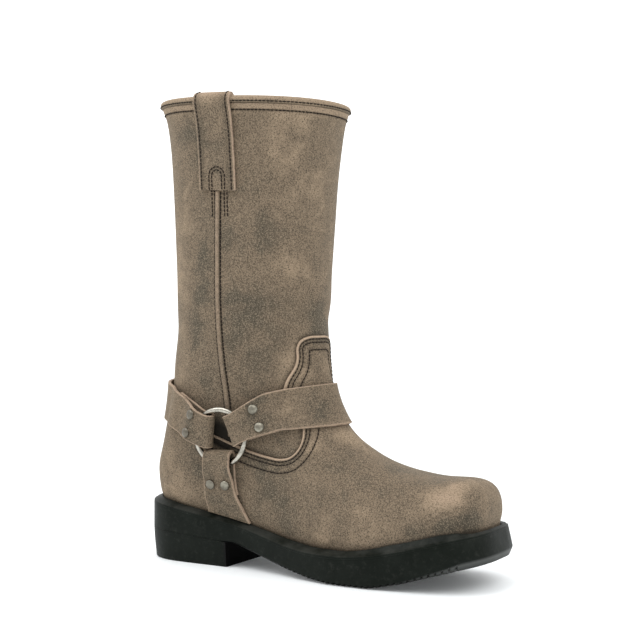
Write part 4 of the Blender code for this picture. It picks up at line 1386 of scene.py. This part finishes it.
@functools.cache
def lining_leather():
    """The smooth tan lining."""
    material, tree, shader, place = new_material("Lining leather")
    paint = colours()
    blots = noise(tree, place, scale=30.0, detail=4.0, roughness=0.6)
    colour = layered(tree, paint.lining_dark, (ramp(tree, blots, 0.3, 0.7), paint.lining))
    set_inputs(tree, shader, Base_Color=colour, Roughness=0.6)
    grain = use_group(tree, grain_group(), Vector=place, Nap=0.3)
    add_bump(tree, shader, grain.outputs["Height"], 0.0004, 0.5)
    return material


@functools.cache
def thread():
    """Black waxed thread."""
    material, tree, shader, place = new_material("Waxed thread")
    paint = colours()
    twist = noise(tree, place, scale=1400.0, detail=2.0)
    colour = layered(tree, paint.thread, (ramp(tree, twist, 0.35, 0.7), paint.thread_light))
    set_inputs(tree, shader, Base_Color=colour, Roughness=0.75, Specular_IOR_Level=0.12)
    add_bump(tree, shader, twist, 0.0002, 0.6)
    return material


@functools.cache
def sole_rubber(in_shade=False):
    """Moulded black rubber, dusty with a painted highlight on its upward faces, and painted dark with little
    gloss where shade falls under the arch.
    """
    material, tree, shader, place = new_material("Rubber painted as in shade" if in_shade else "Sole rubber")
    paint = colours()
    dust = noise(tree, place, scale=45.0, detail=4.0, roughness=0.65)
    marks = noise(tree, place, scale=260.0, detail=4.0, roughness=0.7)
    specks = noise(tree, place, scale=900.0, detail=2.0, roughness=0.7)
    facing = add_node(tree, "ShaderNodeNewGeometry").outputs["Normal"]
    up = add_node(tree, "ShaderNodeSeparateXYZ", Vector=facing).outputs["Z"]
    # Dust and a painted highlight on faces that point up
    dust_and_highlight = math_node(tree, "MULTIPLY", ramp(tree, up, 0.15, 0.8), ramp(tree, dust, 0.3, 0.65))
    colour = layered(
        tree, paint.rubber,
        (ramp(tree, dust, 0.35, 0.75), paint.rubber_light),
        (weighed(tree, dust_and_highlight, 0.6, ramp(tree, marks, 0.5, 0.75), 0.3), paint.rubber_dust_and_highlight),
        (attribute(tree, "scuffed"), paint.rubber_worn),
        (attribute(tree, "deep"), paint.rubber_painted_shade),
    )
    set_inputs(
        tree, shader, Base_Color=colour, Roughness=blended(tree, dust, 0.3, 0.7, 0.4, 0.6),
        Specular_IOR_Level=0.01 if in_shade else 0.09,
    )
    add_bump(tree, shader, weighed(tree, specks, 0.4, dust, 1.0), 0.0005, 0.5)
    return material


def metal(name, bright, dull, rough_low, rough_high):
    """Worn metal, with its dull and bright areas."""
    material, tree, shader, place = new_material(name)
    share = ramp(tree, noise(tree, place, scale=160.0, detail=4.0, roughness=0.65), 0.35, 0.65)
    colour = layered(tree, dull, (share, bright), (attribute(tree, "tarnish"), colours().tarnish))
    rough = blended(tree, share, 0.0, 1.0, rough_high, rough_low)
    set_inputs(tree, shader, Base_Color=colour, Roughness=rough, Metallic=1.0)
    add_bump(tree, shader, noise(tree, place, scale=900.0), 0.0001, 0.4)
    return material


@functools.cache
def ring_steel():
    return metal("Ring steel", colours().steel, colours().steel_dull, 0.18, 0.34)


@functools.cache
def rivet_nickel():
    return metal("Rivet nickel", colours().nickel, colours().nickel_dull, 0.3, 0.5)


# Properties

def colour_property(name, description, default):
    return FloatVectorProperty(
        name=name, description=description, default=default, subtype="COLOR", size=3, min=0.0, max=1.0
    )


def length_property(name, description, default):
    return FloatProperty(
        name=name, description=description, default=default, unit="LENGTH", precision=5, min=0.0
    )


class BootSizes(bpy.types.PropertyGroup):
    """Sizes of what is sewn on the boot."""

    stitch_pitch: length_property("Stitch pitch", "Distance from one stitch to the next", 0.0031)
    stitch_length: length_property("Stitch length", "Length of thread that shows", 0.0030)
    thread_width: length_property("Thread width", "Width of the thread", 0.00115)


class BootColours(bpy.types.PropertyGroup):
    """Colours of the boot's materials."""

    leather: colour_property("Leather", "Middle colour of the leather", (0.146, 0.110, 0.075))
    leather_dark: colour_property("Dark leather", "Leather where it is darkest", (0.067, 0.057, 0.041))
    leather_light: colour_property("Light leather", "Leather where it is rubbed, and where light is painted", (0.268, 0.200, 0.135))
    leather_speck: colour_property("Leather specks", "Small dark specks", (0.048, 0.040, 0.030))
    leather_dust: colour_property("Leather dust", "Small light specks", (0.268, 0.208, 0.145))
    grime_and_shade: colour_property("Grime and shade", "Soiled seams and painted shade", (0.014, 0.012, 0.009))
    edge: colour_property("Raw edge", "Cut edge of the leather", (0.390, 0.288, 0.205))
    edge_dark: colour_property("Dark raw edge", "Cut edge where it is soiled", (0.138, 0.094, 0.066))
    lining: colour_property("Lining", "Lining of the shaft", (0.29, 0.214, 0.145))
    lining_dark: colour_property("Dark lining", "Lining where it is darkest", (0.207, 0.145, 0.097))
    thread: colour_property("Thread", "Waxed thread", (0.009, 0.0065, 0.005))
    thread_light: colour_property("Light thread", "Thread where it catches light", (0.031, 0.023, 0.017))
    rubber: colour_property("Rubber", "Sole and heel", (0.0032, 0.0050, 0.0032))
    rubber_light: colour_property("Light rubber", "Sole and heel where rubbed", (0.0075, 0.0098, 0.0075))
    rubber_dust_and_highlight: colour_property("Dusty and highlighted rubber", "Dust and painted highlight on the sole's upper edge", (0.038, 0.039, 0.034))
    rubber_painted_shade: colour_property("Painted shade rubber", "Heel breast and arch painted dark as in shade", (0.003, 0.003, 0.003))
    rubber_worn: colour_property("Worn rubber", "Sole where the floor has worn it", (0.085, 0.088, 0.084))
    steel: colour_property("Steel", "Harness rings", (0.47, 0.445, 0.39))
    steel_dull: colour_property("Dull steel", "Rings where they are dull", (0.25, 0.235, 0.20))
    nickel: colour_property("Nickel", "Rivets", (0.34, 0.325, 0.265))
    nickel_dull: colour_property("Dull nickel", "Rivets where they are dull", (0.19, 0.175, 0.14))
    tarnish: colour_property("Tarnish", "Metal that has gone dark", (0.115, 0.102, 0.082))
    floor: colour_property("Floor", "The plain floor", (0.89, 0.915, 0.925))


# Operators

class MakeUpper(bpy.types.Operator):
    """Makes the hollow leather upper with its lining"""

    bl_idname = "boot.make_upper"
    bl_label = "Upper"

    def execute(self, context):
        sheet = skin_sheet()
        for level in groove_cuts(COLLAR_ROW):
            sheet.split("collar", level)
        collar = sheet.fields["collar"]
        row = bell(collar - COLLAR_ROW, GROOVE_WIDTH)
        piece = shell_piece("upper_leather", sheet, -GROOVE_DEPTH * row, welt_trough(sheet.points) - WALL)
        band = COLLAR_BAND * (collar < COLLAR_ROW)
        # Soil and painted shade in the collar's stitch groove, painted shade along the vamp's edge and
        # painted shadows inside the rings
        soil_and_shade = COLLAR_ROW_GRIME_AND_SHADE * row + VAMP_EDGE_SHADE * bell(sheet.fields["vamp"], VAMP_EDGE_SPREAD)
        soil_and_shade += marks_at(PAINTED_SHADOWS, sheet.points)
        add_field(piece, "tone_and_shading", np.tile(COLLAR_TONE * bell(collar, COLLAR_RUB) + band, 2))
        add_field(piece, "raw", np.tile(band, 2))
        add_field(piece, "soil_and_shade", np.concatenate([soil_and_shade, np.zeros(len(soil_and_shade))]))
        for points, normals in sheet.line("collar", COLLAR_ROW):
            sew(points, normals)
        smooth(piece)
        finish_piece(
            piece, "leather", "upper", materials=(worn_leather(), lining_leather(), worn_leather())
        )
        return {"FINISHED"}


class MakeVamp(bpy.types.Operator):
    """Makes the vamp that covers the foot, with its tab, raw edge and grooves for the stitches"""

    bl_idname = "boot.make_vamp"
    bl_label = "Vamp"

    def execute(self, context):
        sheet = skin_sheet()
        sheet.trim("vamp")
        for share in EDGE_CUTS:
            sheet.split("vamp", VAMP_EDGE_ROUND * share)
        for row in VAMP_ROWS:
            for level in groove_cuts(row):
                sheet.split("vamp", level)
        inside = sheet.fields["vamp"]
        short = 1 - np.clip(inside / VAMP_EDGE_ROUND, 0, 1)
        rows = sum(bell(inside - row, GROOVE_WIDTH) for row in VAMP_ROWS)
        rounding = EDGE_SHARE + (1 - EDGE_SHARE) * np.sqrt(1 - short**2)
        outer = VAMP_THICKNESS * rounding - GROOVE_DEPTH * rows
        piece = shell_piece("vamp_leather", sheet, outer + GAP, np.full(len(outer), GAP))
        raw = np.interp(inside, VAMP_RAW, (1.0, 0.0)) + marks_at(SCUFFS, sheet.points)
        # Soil and painted shade in the stitch grooves, painted shadows inside the rings and low on the toe,
        # and painted shade along the welt
        soil_and_shade = rows * ROW_GRIME_AND_SHADE + marks_at(PAINTED_SHADOWS, sheet.points) * (1 - RAW_CLEAN * raw)
        soil_and_shade += WELT_SHADE * bell(np.maximum(over_welt(sheet.points), 0), WELT_SHADE_SPREAD)
        add_field(piece, "raw", np.tile(raw, 2))
        add_field(piece, "soil_and_shade", np.tile(soil_and_shade, 2))
        for row in VAMP_ROWS:
            for points, normals in sheet.line("vamp", row):
                sew(points, normals, VAMP_FACE - GROOVE_DEPTH)
        smooth(piece)
        finish_piece(piece, "leather", "vamp", materials=(worn_leather(), raw_edge(), raw_edge()))
        return {"FINISHED"}


class MakeSideSeams(bpy.types.Operator):
    """Makes the narrow cover on each side seam, with a row of stitches on either side"""

    bl_idname = "boot.make_side_seams"
    bl_label = "Side seams"

    def execute(self, context):
        line = rounded_line(SEAM_LINE, steps=14)
        across = np.linspace(-1, 1, 9)
        raised = GAP + SEAM_HEIGHT * np.sqrt(1 - SEAM_ROUND * across**2)
        steps = list(zip(across * SEAM_WIDTH / 2, raised))
        for name, side in SIDES:
            grid = np.array([[over_skin(side_at(x + at, z, side), up) for at, up in steps] for x, z in line])
            piece = grid_piece(f"side_seam_{name}_cover", grid if side < 0 else grid[:, ::-1])
            height = line[:, 1]
            rubbed = SEAM_RAW + SEAM_RAW_SWING * np.sin(0.9 * height) * np.sin(0.37 * height + 1.0)
            rubbed *= np.interp(height, SEAM_RAW_RISES, (0.55, 1.0))
            add_field(piece, "raw", np.outer(rubbed, 1 - across**2).ravel())
            # A slight even darkening of the cover, stronger towards both edges
            add_field(piece, "soil_and_shade", np.tile(SEAM_DIRT + SEAM_EDGE_DARKENING * across**4, len(line)))
            apply_modifier(piece, "Leather", "SOLIDIFY", thickness=COVER_THICKNESS * MM, offset=-1.0)
            face_out(piece)
            smooth(piece, degrees=60.0)
            finish_piece(piece, "leather_edge", f"side_seam_{name}", materials=(worn_leather(),))
            for offset in (-SEAM_ROW, SEAM_ROW):
                sew(*zip(*(side_at(x + offset, z, side) for x, z in line)))
        return {"FINISHED"}


class MakeBinding(bpy.types.Operator):
    """Makes the rolled bead round the collar"""

    bl_idname = "boot.make_binding"
    bl_label = "Collar bead"

    def execute(self, context):
        loop = even_loop(len(SECTIONS) - 1, BEAD_POINTS)[::-1]
        outward = unit(loop - loop.mean(axis=0))
        centres = loop - outward * WALL / 2
        centres[:, 2] += BEAD_LIFT
        turns = full_turn(BEAD_SIDES)
        round_out = np.cos(turns)[None, :, None] * outward[:, None, :]
        low_roll = BEAD_LIFT - BEAD_GAP
        rise = np.where(np.sin(turns) < 0, low_roll / BEAD_ROLL, 1.0) * np.sin(turns)
        round_up = rise[None, :, None] * np.array([0.0, 0.0, 1.0])
        piece = ring_piece("collar_bead", centres[:, None, :] + BEAD_ROLL * (round_out + round_up))
        # Painted highlight on the bead's top, which is also rubbed pale, and painted shade along its
        # underside
        top, foot = np.clip(rise + BEAD_TOP, 0, 1), np.clip(-rise - BEAD_FOOT, 0, 1)
        for field, values in (("soil_and_shade", BEAD_SHADE * foot), ("tone_and_shading", BEAD_HIGHLIGHT * top), ("raw", BEAD_RAW * top)):
            add_field(piece, field, np.tile(values, len(loop)))
        smooth(piece, degrees=80.0)
        finish_piece(piece, "leather", "top_binding", materials=(worn_leather(),))
        turn = math.asin((BEAD_ROW - BEAD_LIFT) / low_roll)
        normals = outward * math.cos(turn) + (0.0, 0.0, math.sin(turn))
        row = centres + outward * math.cos(turn) * BEAD_ROLL + (0.0, 0.0, BEAD_ROW - BEAD_LIFT)
        sew(np.concatenate([row, row[:1]]), np.concatenate([normals, normals[:1]]))
        return {"FINISHED"}


class MakePullStraps(bpy.types.Operator):
    """Makes the pull straps that fold over the collar, with their stitches"""

    bl_idname = "boot.make_pull_straps"
    bl_label = "Pull straps"

    def path(self):
        """The strap's middle, as drops under the bead and heights over the shaft's skin."""
        outside = GAP + PULL_THICKNESS / 2
        inside = -WALL - GAP - PULL_THICKNESS / 2
        over = BEAD_RADIUS + PULL_OVER_BEAD + PULL_THICKNESS / 2
        path = [(drop, outside + PULL_SLACK) for drop in np.linspace(PULL_OUTSIDE, 28, 5)]
        path += [(drop, outside + slack) for drop, slack in PULL_OUTER]
        for turn in np.radians(np.linspace(0, 180, 13)):
            path.append((-over * math.sin(turn), -WALL / 2 + over * math.cos(turn)))
        return path + [(drop, inside - slack) for drop, slack in PULL_INNER]

    def place(self, side, drop, height, across):
        """A place on the strap's middle surface."""
        x = PULL_X + across
        z = collar_z(x) + BEAD_LIFT - drop
        place, normal = side_at(x, min(z, collar_z(x) - UNDER_COLLAR), side)
        place = place + unit(normal * (1, 1, 0)) * height
        place[2] = z
        return place

    def execute(self, context):
        path = rounded_line(self.path(), steps=3)
        half = PULL_WIDTH / 2
        for name, side in SIDES:
            across = STRIP_SHARES * half
            grid = np.array([[self.place(side, *spot, a) for a in across] for spot in path])
            # Soil and painted shade in the stitch grooves along both edges
            row = PULL_ROW_GRIME_AND_SHADE * bell(np.abs(across) - half + PULL_EDGE_ROW, PULL_ROW_SPREAD)
            piece = strip_piece(f"pull_strap_{name}_leather", grid, PULL_THICKNESS, row)
            height = piece_points(piece)[:, 2]
            # The fold over the collar is rubbed pale and painted lighter where it faces up
            fold = PULL_TOP_RUB_AND_HIGHLIGHT * bell(height - height.max(), PULL_TOP_SPREAD)
            add_field(piece, "raw", np.maximum(field_of(piece, "raw"), fold))
            finish_piece(piece, "leather", f"pull_strap_{name}")
            self.sew_edges(side, path)
            self.sew_arch(side)
        return {"FINISHED"}

    def sew_edges(self, side, path):
        """Rows along both edges, from the outside's foot over the collar to the inside's foot."""
        for across in (-PULL_WIDTH / 2 + PULL_EDGE_ROW, PULL_WIDTH / 2 - PULL_EDGE_ROW):
            middle = np.array([self.place(side, *spot, across) for spot in path])
            beside = np.array([self.place(side, *spot, across + 1.0) for spot in path])
            normals = unit(np.cross(np.gradient(middle, axis=0), beside - middle))
            sew(middle, normals * np.sign(normals[0, 1] * side), PULL_THICKNESS / 2)

    def sew_arch(self, side):
        """The double arch that holds the strap's foot and runs on down beside the seam."""
        foot = collar_z(PULL_X) + BEAD_LIFT - PULL_OUTSIDE
        for half in ARCH_HALF_WIDTHS:
            top = ARCH_TOP - (max(ARCH_HALF_WIDTHS) - half)
            turns = np.linspace(0, math.pi, 25)
            line = [(-half, z) for z in np.linspace(ARCH_FOOT, top - half, 20)]
            line += [(-half * math.cos(turn), top - half + half * math.sin(turn)) for turn in turns]
            line += [(half, z) for z in np.linspace(top - half, ARCH_FOOT, 20)]
            spots = []
            for across, z in line:
                place, normal = side_at(PULL_X + ARCH_SHIFT + across, z, side)
                on_strap = np.clip(z - foot, 0.0, 1.0)
                spots.append((place + normal * on_strap * (GAP + PULL_SLACK + PULL_THICKNESS), normal))
            sew(*zip(*spots))


class MakeHarness(bpy.types.Operator):
    """Makes the leather straps that meet at the rings"""

    bl_idname = "boot.make_harness"
    bl_label = "Harness straps"

    def execute(self, context):
        for name, rows, width in (
            ("front_strap", FRONT_STRAP, FRONT_STRAP_WIDTH),
            ("rear_strap", REAR_STRAP, REAR_STRAP_WIDTH),
        ):
            piece = strip_piece(name + "_leather", harness_grid(rows, width), STRAP_THICKNESS)
            finish_piece(piece, "leather", name)
        for name, side in SIDES:
            piece = strip_piece(f"under_strap_{name}_leather", under_grid(side), STRAP_THICKNESS)
            finish_piece(piece, "leather", f"under_strap_{name}")
        return {"FINISHED"}


class MakeRings(bpy.types.Operator):
    """Makes the steel rings"""

    bl_idname = "boot.make_rings"
    bl_label = "Rings"

    def execute(self, context):
        for name, side in SIDES:
            centre, axis = ring_frame(side)
            up = unit(np.cross(axis, (1.0, 0.0, 0.0)))
            along = np.cross(up, axis)
            turns = full_turn(RING_POINTS)[:, None]
            outward = along * np.cos(turns) + up * np.sin(turns)
            sides = full_turn(WIRE_SIDES)
            tube = np.cos(sides)[None, :, None] * outward[:, None, :] + np.sin(sides)[None, :, None] * axis
            points = (centre + RING_RADIUS * outward)[:, None, :] + RING_WIRE * tube
            piece = ring_piece(f"ring_{name}_wire", points)
            smooth(piece, degrees=80.0)
            finish_piece(piece, "steel", f"ring_{name}", materials=(ring_steel(),))
        return {"FINISHED"}


class MakeRivets(bpy.types.Operator):
    """Makes the domed rivets through the straps' ends"""

    bl_idname = "boot.make_rivets"
    bl_label = "Rivets"

    def seats(self):
        """Name, tarnish, place and normal of each rivet."""
        for rows, rivets_at, number, tarnish in (
            (FRONT_STRAP, FRONT_RIVETS_AT, 1, FRONT_TARNISH), (REAR_STRAP, REAR_RIVETS_AT, 3, REAR_TARNISH),
        ):
            line, whole, first, last = harness_path(rows)
            for where, end, path in (("outer", 0.0, first), ("inner", whole, last)):
                for k, edge in enumerate((STRAP_END_WIDTH / 2, -STRAP_END_WIDTH / 2)):
                    seat = strap_face(
                        lambda along, across: strap_point(line, abs(end - along), across),
                        path, rivets_at, edge, RIVET_SHARE,
                    )
                    yield (f"rivet_{where}_{number + k}", tarnish, *seat)
        for where, side in SIDES:
            path = under_path(side)
            for k, (edge, tarnish) in enumerate(zip((-1.0, 1.0), UNDER_TARNISH)):
                seat = strap_face(
                    lambda along, across: under_point(side, along, across),
                    path, LOW_RIVETS_AT, edge, LOW_RIVET_SHARE,
                )
                yield (f"rivet_{where}_{5 + k}", tarnish, *seat)

    def cap(self):
        """One rivet at the origin: a low dome with a short skirt."""
        deselect_all()
        bpy.ops.mesh.primitive_uv_sphere_add(segments=28, ring_count=16, radius=RIVET_RADIUS * MM)
        cap = renamed("rivet_cap")
        bpy.ops.object.mode_set(mode="EDIT")
        bpy.ops.mesh.select_all(action="SELECT")
        bpy.ops.mesh.bisect(plane_co=(0, 0, 0), plane_no=(0, 0, 1), clear_inner=True, use_fill=True)
        bpy.ops.mesh.select_all(action="SELECT")
        bpy.ops.transform.resize(value=(1.0, 1.0, RIVET_HEIGHT / RIVET_RADIUS))
        bpy.ops.object.mode_set(mode="OBJECT")
        face_out(cap)
        smooth(cap, degrees=60.0)
        return cap

    def execute(self, context):
        cap = self.cap()
        for node, tarnish, place, normal in self.seats():
            side = unit(np.cross((0.0, 0.0, 1.0), normal))
            turn = Matrix(np.stack([side, np.cross(normal, side), normal], axis=1).tolist()).to_4x4()
            mesh = cap.data.copy()
            mesh.transform(Matrix.Translation(placed(place - normal * RIVET_SINK)) @ turn)
            piece = linked(node + "_cap", mesh)
            mesh.name = piece.name
            add_field(piece, "tarnish", np.full(len(mesh.vertices), tarnish))
            finish_piece(piece, "nickel", node, materials=(rivet_nickel(),))
        bpy.data.objects.remove(cap)
        return {"FINISHED"}


class MakeSole(bpy.types.Operator):
    """Makes the outsole with its tread, the heel and the welt"""

    bl_idname = "boot.make_sole"
    bl_label = "Sole"

    def outsole(self):
        x = list(sole_stations(SOLE_BACK, SOLE_TIP, 110))
        grooves = np.arange(TREAD_START, TREAD_END, TREAD_PITCH)
        for start in grooves:
            stop = start + TREAD_GROOVE
            x = [at for at in x if not start - TREAD_CLEAR < at < stop + TREAD_CLEAR]
            x += [start, start + TREAD_EASE, stop - TREAD_EASE, stop]
        x = np.array(sorted(x))
        tread = np.zeros(len(x))
        for start in grooves:
            tread[(x > start + TREAD_EASE / 2) & (x < start + TREAD_GROOVE - TREAD_EASE / 2)] = TREAD_DEPTH
        toe = np.interp(x, TOE_WEAR, (0.0, 1.0))
        ahead_of_heel = np.interp(x, (HEEL_LENGTH - 6, HEEL_LENGTH + 8), (0.15, 1.0))
        run = SOLE_EDGE_RUN * ahead_of_heel
        lift = SOLE_EDGE_LIFT * ahead_of_heel + TOE_EDGE_LIFT * toe**2
        layers = [
            sole_layer(x, run, "bottom", tread),
            sole_layer(x, 0.3 * run, "bottom", 0.7 * lift + 0.4 * tread),
            sole_layer(x, 0.05 * run, "bottom", lift),
            sole_layer(x, 0.0, "bottom", lift + 0.6),
            sole_layer(x, 0.0, "top", -0.5),
            sole_layer(x, 0.08, "top", -0.15),
            sole_layer(x, 0.5, "top", 0.0),
        ]
        piece = layered_piece("outsole_rubber", layers)
        # Painted shade under the arch, on the lowest layers just ahead of the heel
        arch = np.interp(x, (HEEL_LENGTH - 6, HEEL_LENGTH, HEEL_LENGTH + 40), (0.0, 1.0, 0.0))
        for field, values, shares in (("scuffed", toe, SCUFFED_LAYERS), ("deep", arch, PAINTED_SHADE_LAYERS)):
            add_field(piece, field, np.concatenate([np.tile(values * share, 2) for share in shares]))
        return piece

    def heel(self):
        x = SOLE_BACK + (HEEL_LENGTH - SOLE_BACK) * (1 - np.cos(np.linspace(END_TURN, math.pi / 2, 40)))
        layers = []
        for inset, height in HEEL_LAYERS:
            _, lateral, medial, bottom = sole_layer(x, inset, "bottom", 0.05)
            drawn = SOLE_BACK + inset + (x - SOLE_BACK) * (1 - inset / (HEEL_LENGTH - SOLE_BACK))
            z = bottom if height is None else np.full(len(x), height)
            layers.append((drawn, lateral, medial, z))
        piece = layered_piece("heel_rubber", layers)
        # Painted shade on the heel's breast
        breast = np.where(x > HEEL_LENGTH - 0.5, 1.0, 0.0)
        add_field(piece, "deep", np.tile(breast, 2 * len(layers)))
        return piece

    def welt(self):
        """The sloped rim, from the sole's edge up to the vamp."""
        x = sole_stations(SOLE_BACK, SOLE_TIP, 120)
        drawn, lateral, medial, low = sole_layer(x, SOLE_RIM, "top", -0.05)
        outline = np.concatenate([
            np.stack([drawn, lateral, low], axis=1),
            np.stack([drawn, medial, low], axis=1)[::-1],
        ])
        ahead = np.roll(outline, -1, axis=0) - np.roll(outline, 1, axis=0)
        inward = unit(np.stack([-ahead[:, 1], ahead[:, 0], np.zeros(len(ahead))], axis=1))
        rows = []
        tree = skin_tree(VAMP_FACE)
        for place, way in zip(outline, inward):
            reach = []
            high = WELT_HEIGHT + welt_rise(place[0])
            for lift in (0.0, high):
                start = place + (0, 0, lift) - way * WELT_START
                hit = tree.ray_cast(Vector(start), Vector(way))[3]
                reach.append(min(hit - WELT_START if hit else WELT_REACH[0], WELT_REACH[1]))
            foot, head = reach[0] - GAP, reach[1] - GAP
            bend = min(WELT_BEND[0], head * 0.6), WELT_BEND[1]
            lip = [(head - step, high - drop) for step, drop in WELT_LIP]
            section = (*WELT_RIM, bend, *lip, (foot, 0.0))
            rows.append([place + way * step + (0, 0, lift) for step, lift in section])
        return ring_piece("welt_rubber", np.array(rows))

    def execute(self, context):
        for piece, node in ((self.outsole(), "outsole"), (self.heel(), "heel"), (self.welt(), "welt")):
            smooth(piece, degrees=32.0)
            # Faces painted wholly as in shade take the rubber with little gloss
            deep = field_of(piece, "deep")
            for face in piece.data.polygons:
                face.material_index = int(min(deep[list(face.vertices)]) > 0.5)
            finish_piece(piece, "rubber", node, materials=(sole_rubber(), sole_rubber(True)))
        return {"FINISHED"}


class DressInsole(bpy.types.Operator):
    """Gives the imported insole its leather"""

    bl_idname = "boot.dress_insole"
    bl_label = "Insole"

    def execute(self, context):
        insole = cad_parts["insole"]
        insole.data.materials.clear()
        insole.data.materials.append(lining_leather())
        return {"FINISHED"}


class MakeStitches(bpy.types.Operator):
    """Makes every stitch that the other pieces called for, as one joined mesh"""

    bl_idname = "boot.make_stitches"
    bl_label = "Stitches"

    def execute(self, context):
        sizes = context.scene.boot_sizes
        deselect_all()
        bpy.ops.mesh.primitive_uv_sphere_add(segments=6, ring_count=5, radius=0.5)
        pattern = context.object
        shape = np.array([vert.co for vert in pattern.data.vertices])
        faces = [list(face.vertices) for face in pattern.data.polygons]
        bpy.data.objects.remove(pattern)
        long = shape[:, 2] * sizes.stitch_length / MM
        wide = shape[:, 0] * sizes.thread_width / MM
        high = shape[:, 1] * sizes.thread_width / MM + STITCH_LIFT - STITCH_SINK * shape[:, 2] ** 2
        points, joined = [], []
        for place, tangent, normal in SEWN:
            side = np.cross(normal, tangent)
            base = len(joined) // len(faces) * len(shape)
            points.append(place + long[:, None] * tangent + wide[:, None] * side + high[:, None] * normal)
            joined += [[base + corner for corner in face] for face in faces]
        piece = mesh_piece("black_stitches", np.concatenate(points), joined)
        face_out(piece)
        smooth(piece, degrees=80.0)
        finish_piece(piece, "leather", materials=(thread(),))
        return {"FINISHED"}


class MakeStage(bpy.types.Operator):
    """Makes the floor, the soft lights and the camera"""

    bl_idname = "boot.make_stage"
    bl_label = "Stage"

    def light(self, name, place, target, size, power):
        data = bpy.data.lights.new(name, "AREA")
        data.shape = "DISK"
        data.size = size
        data.energy = power
        lamp = linked(name, data)
        lamp.location = place
        lamp.rotation_euler = (Vector(target) - Vector(place)).to_track_quat("-Z", "Y").to_euler()

    def camera(self, context):
        turn = math.radians(CAMERA_TURN)
        right = np.array([math.cos(turn), math.sin(turn), 0.0])
        back = np.array([math.sin(turn), -math.cos(turn), 0.0])
        place = np.array([CAMERA_AIM_X, 0.0, CAMERA_HEIGHT]) + CAMERA_SIDE * right + CAMERA_DISTANCE * back
        data = bpy.data.cameras.new("photo_camera")
        data.sensor_width = SENSOR_MM
        data.lens = FOCAL_PIXELS / PHOTO_PIXELS * SENSOR_MM
        data.shift_y = (HORIZON_PIXEL - PHOTO_PIXELS / 2) / PHOTO_PIXELS
        data.clip_start = 0.05
        camera = linked("photo_camera", data)
        axes = np.stack([right, (0.0, 0.0, 1.0), back], axis=1)
        camera.matrix_world = Matrix.Translation(placed(place)) @ Matrix(axes.tolist()).to_4x4()
        context.scene.camera = camera

    def surround(self, context):
        """White all round, less bright in front of the boot above the horizon."""
        world = bpy.data.worlds.new("Studio")
        world.use_nodes = True
        tree = world.node_tree
        turn = math.radians(CAMERA_TURN)
        way = add_node(tree, "ShaderNodeTexCoord").outputs["Generated"]
        front = add_node(tree, "ShaderNodeVectorMath", {"operation": "DOT_PRODUCT"})
        feed(tree, front.inputs[0], way)
        feed(tree, front.inputs[1], (math.sin(turn), -math.cos(turn), 0.0))
        strength = blended(tree, front.outputs["Value"], 0.0, 0.9, SURROUND_BEHIND, SURROUND_FRONT)
        up = add_node(tree, "ShaderNodeSeparateXYZ", Vector=way).outputs["Z"]
        strength = math_node(tree, "MAXIMUM", strength, blended(tree, up, *HORIZON, 1.0, 0.0))
        set_inputs(tree, tree.nodes["Background"], Strength=strength, Color=(1.0, 1.0, 1.0, 1.0))
        context.scene.world = world

    def execute(self, context):
        deselect_all()
        bpy.ops.mesh.primitive_plane_add(size=FLOOR_SIZE)
        floor = renamed("floor")
        material, tree, shader, place = new_material("Floor")
        share = math_node(tree, "MULTIPLY", noise(tree, place, scale=3.0, detail=2.0), 0.05)
        pale = colours().floor
        set_inputs(
            tree, shader, Base_Color=layered(tree, pale, (share, (1.0, 1.0, 1.0))), Roughness=0.55,
            Emission_Color=full(pale), Emission_Strength=FLOOR_GLOW,
        )
        floor.data.materials.append(material)
        floor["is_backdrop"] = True
        self.surround(context)
        for row in LIGHTS:
            self.light(**dict(zip(LIGHT_COLUMNS, row)))
        self.camera(context)
        context.scene.view_settings.view_transform = "Standard"
        return {"FINISHED"}


class BootPanel(bpy.types.Panel):
    """Lists the boot's pieces and settings"""

    bl_idname = "VIEW3D_PT_harness_boot"
    bl_label = "Harness boot"
    bl_space_type = "VIEW_3D"
    bl_region_type = "UI"
    bl_category = "Boot"

    def draw(self, context):
        for operator in OPERATORS:
            self.layout.operator(operator.bl_idname)
        for group in (context.scene.boot_sizes, context.scene.boot_colours):
            for name in group.__annotations__:
                self.layout.prop(group, name)


OPERATORS = (
    MakeStage, MakeUpper, MakeVamp, MakeSideSeams, MakeBinding, MakePullStraps, MakeHarness, MakeRings,
    MakeRivets, MakeSole, DressInsole, MakeStitches,
)
CLASSES = (BootSizes, BootColours, *OPERATORS, BootPanel)


def register():
    for cls in CLASSES:
        bpy.utils.register_class(cls)
    bpy.types.Scene.boot_sizes = PointerProperty(type=BootSizes)
    bpy.types.Scene.boot_colours = PointerProperty(type=BootColours)


def unregister():
    del bpy.types.Scene.boot_colours
    del bpy.types.Scene.boot_sizes
    for cls in reversed(CLASSES):
        bpy.utils.unregister_class(cls)


def main():
    register()
    for operator in OPERATORS:
        group, name = operator.bl_idname.split(".")
        getattr(getattr(bpy.ops, group), name)()
    boxes = {"cad": CAD_BOX, "visual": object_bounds()}
    {key: [list(corner) for corner in box] for key, box in boxes.items()}


if __name__ == "__main__":
    main()
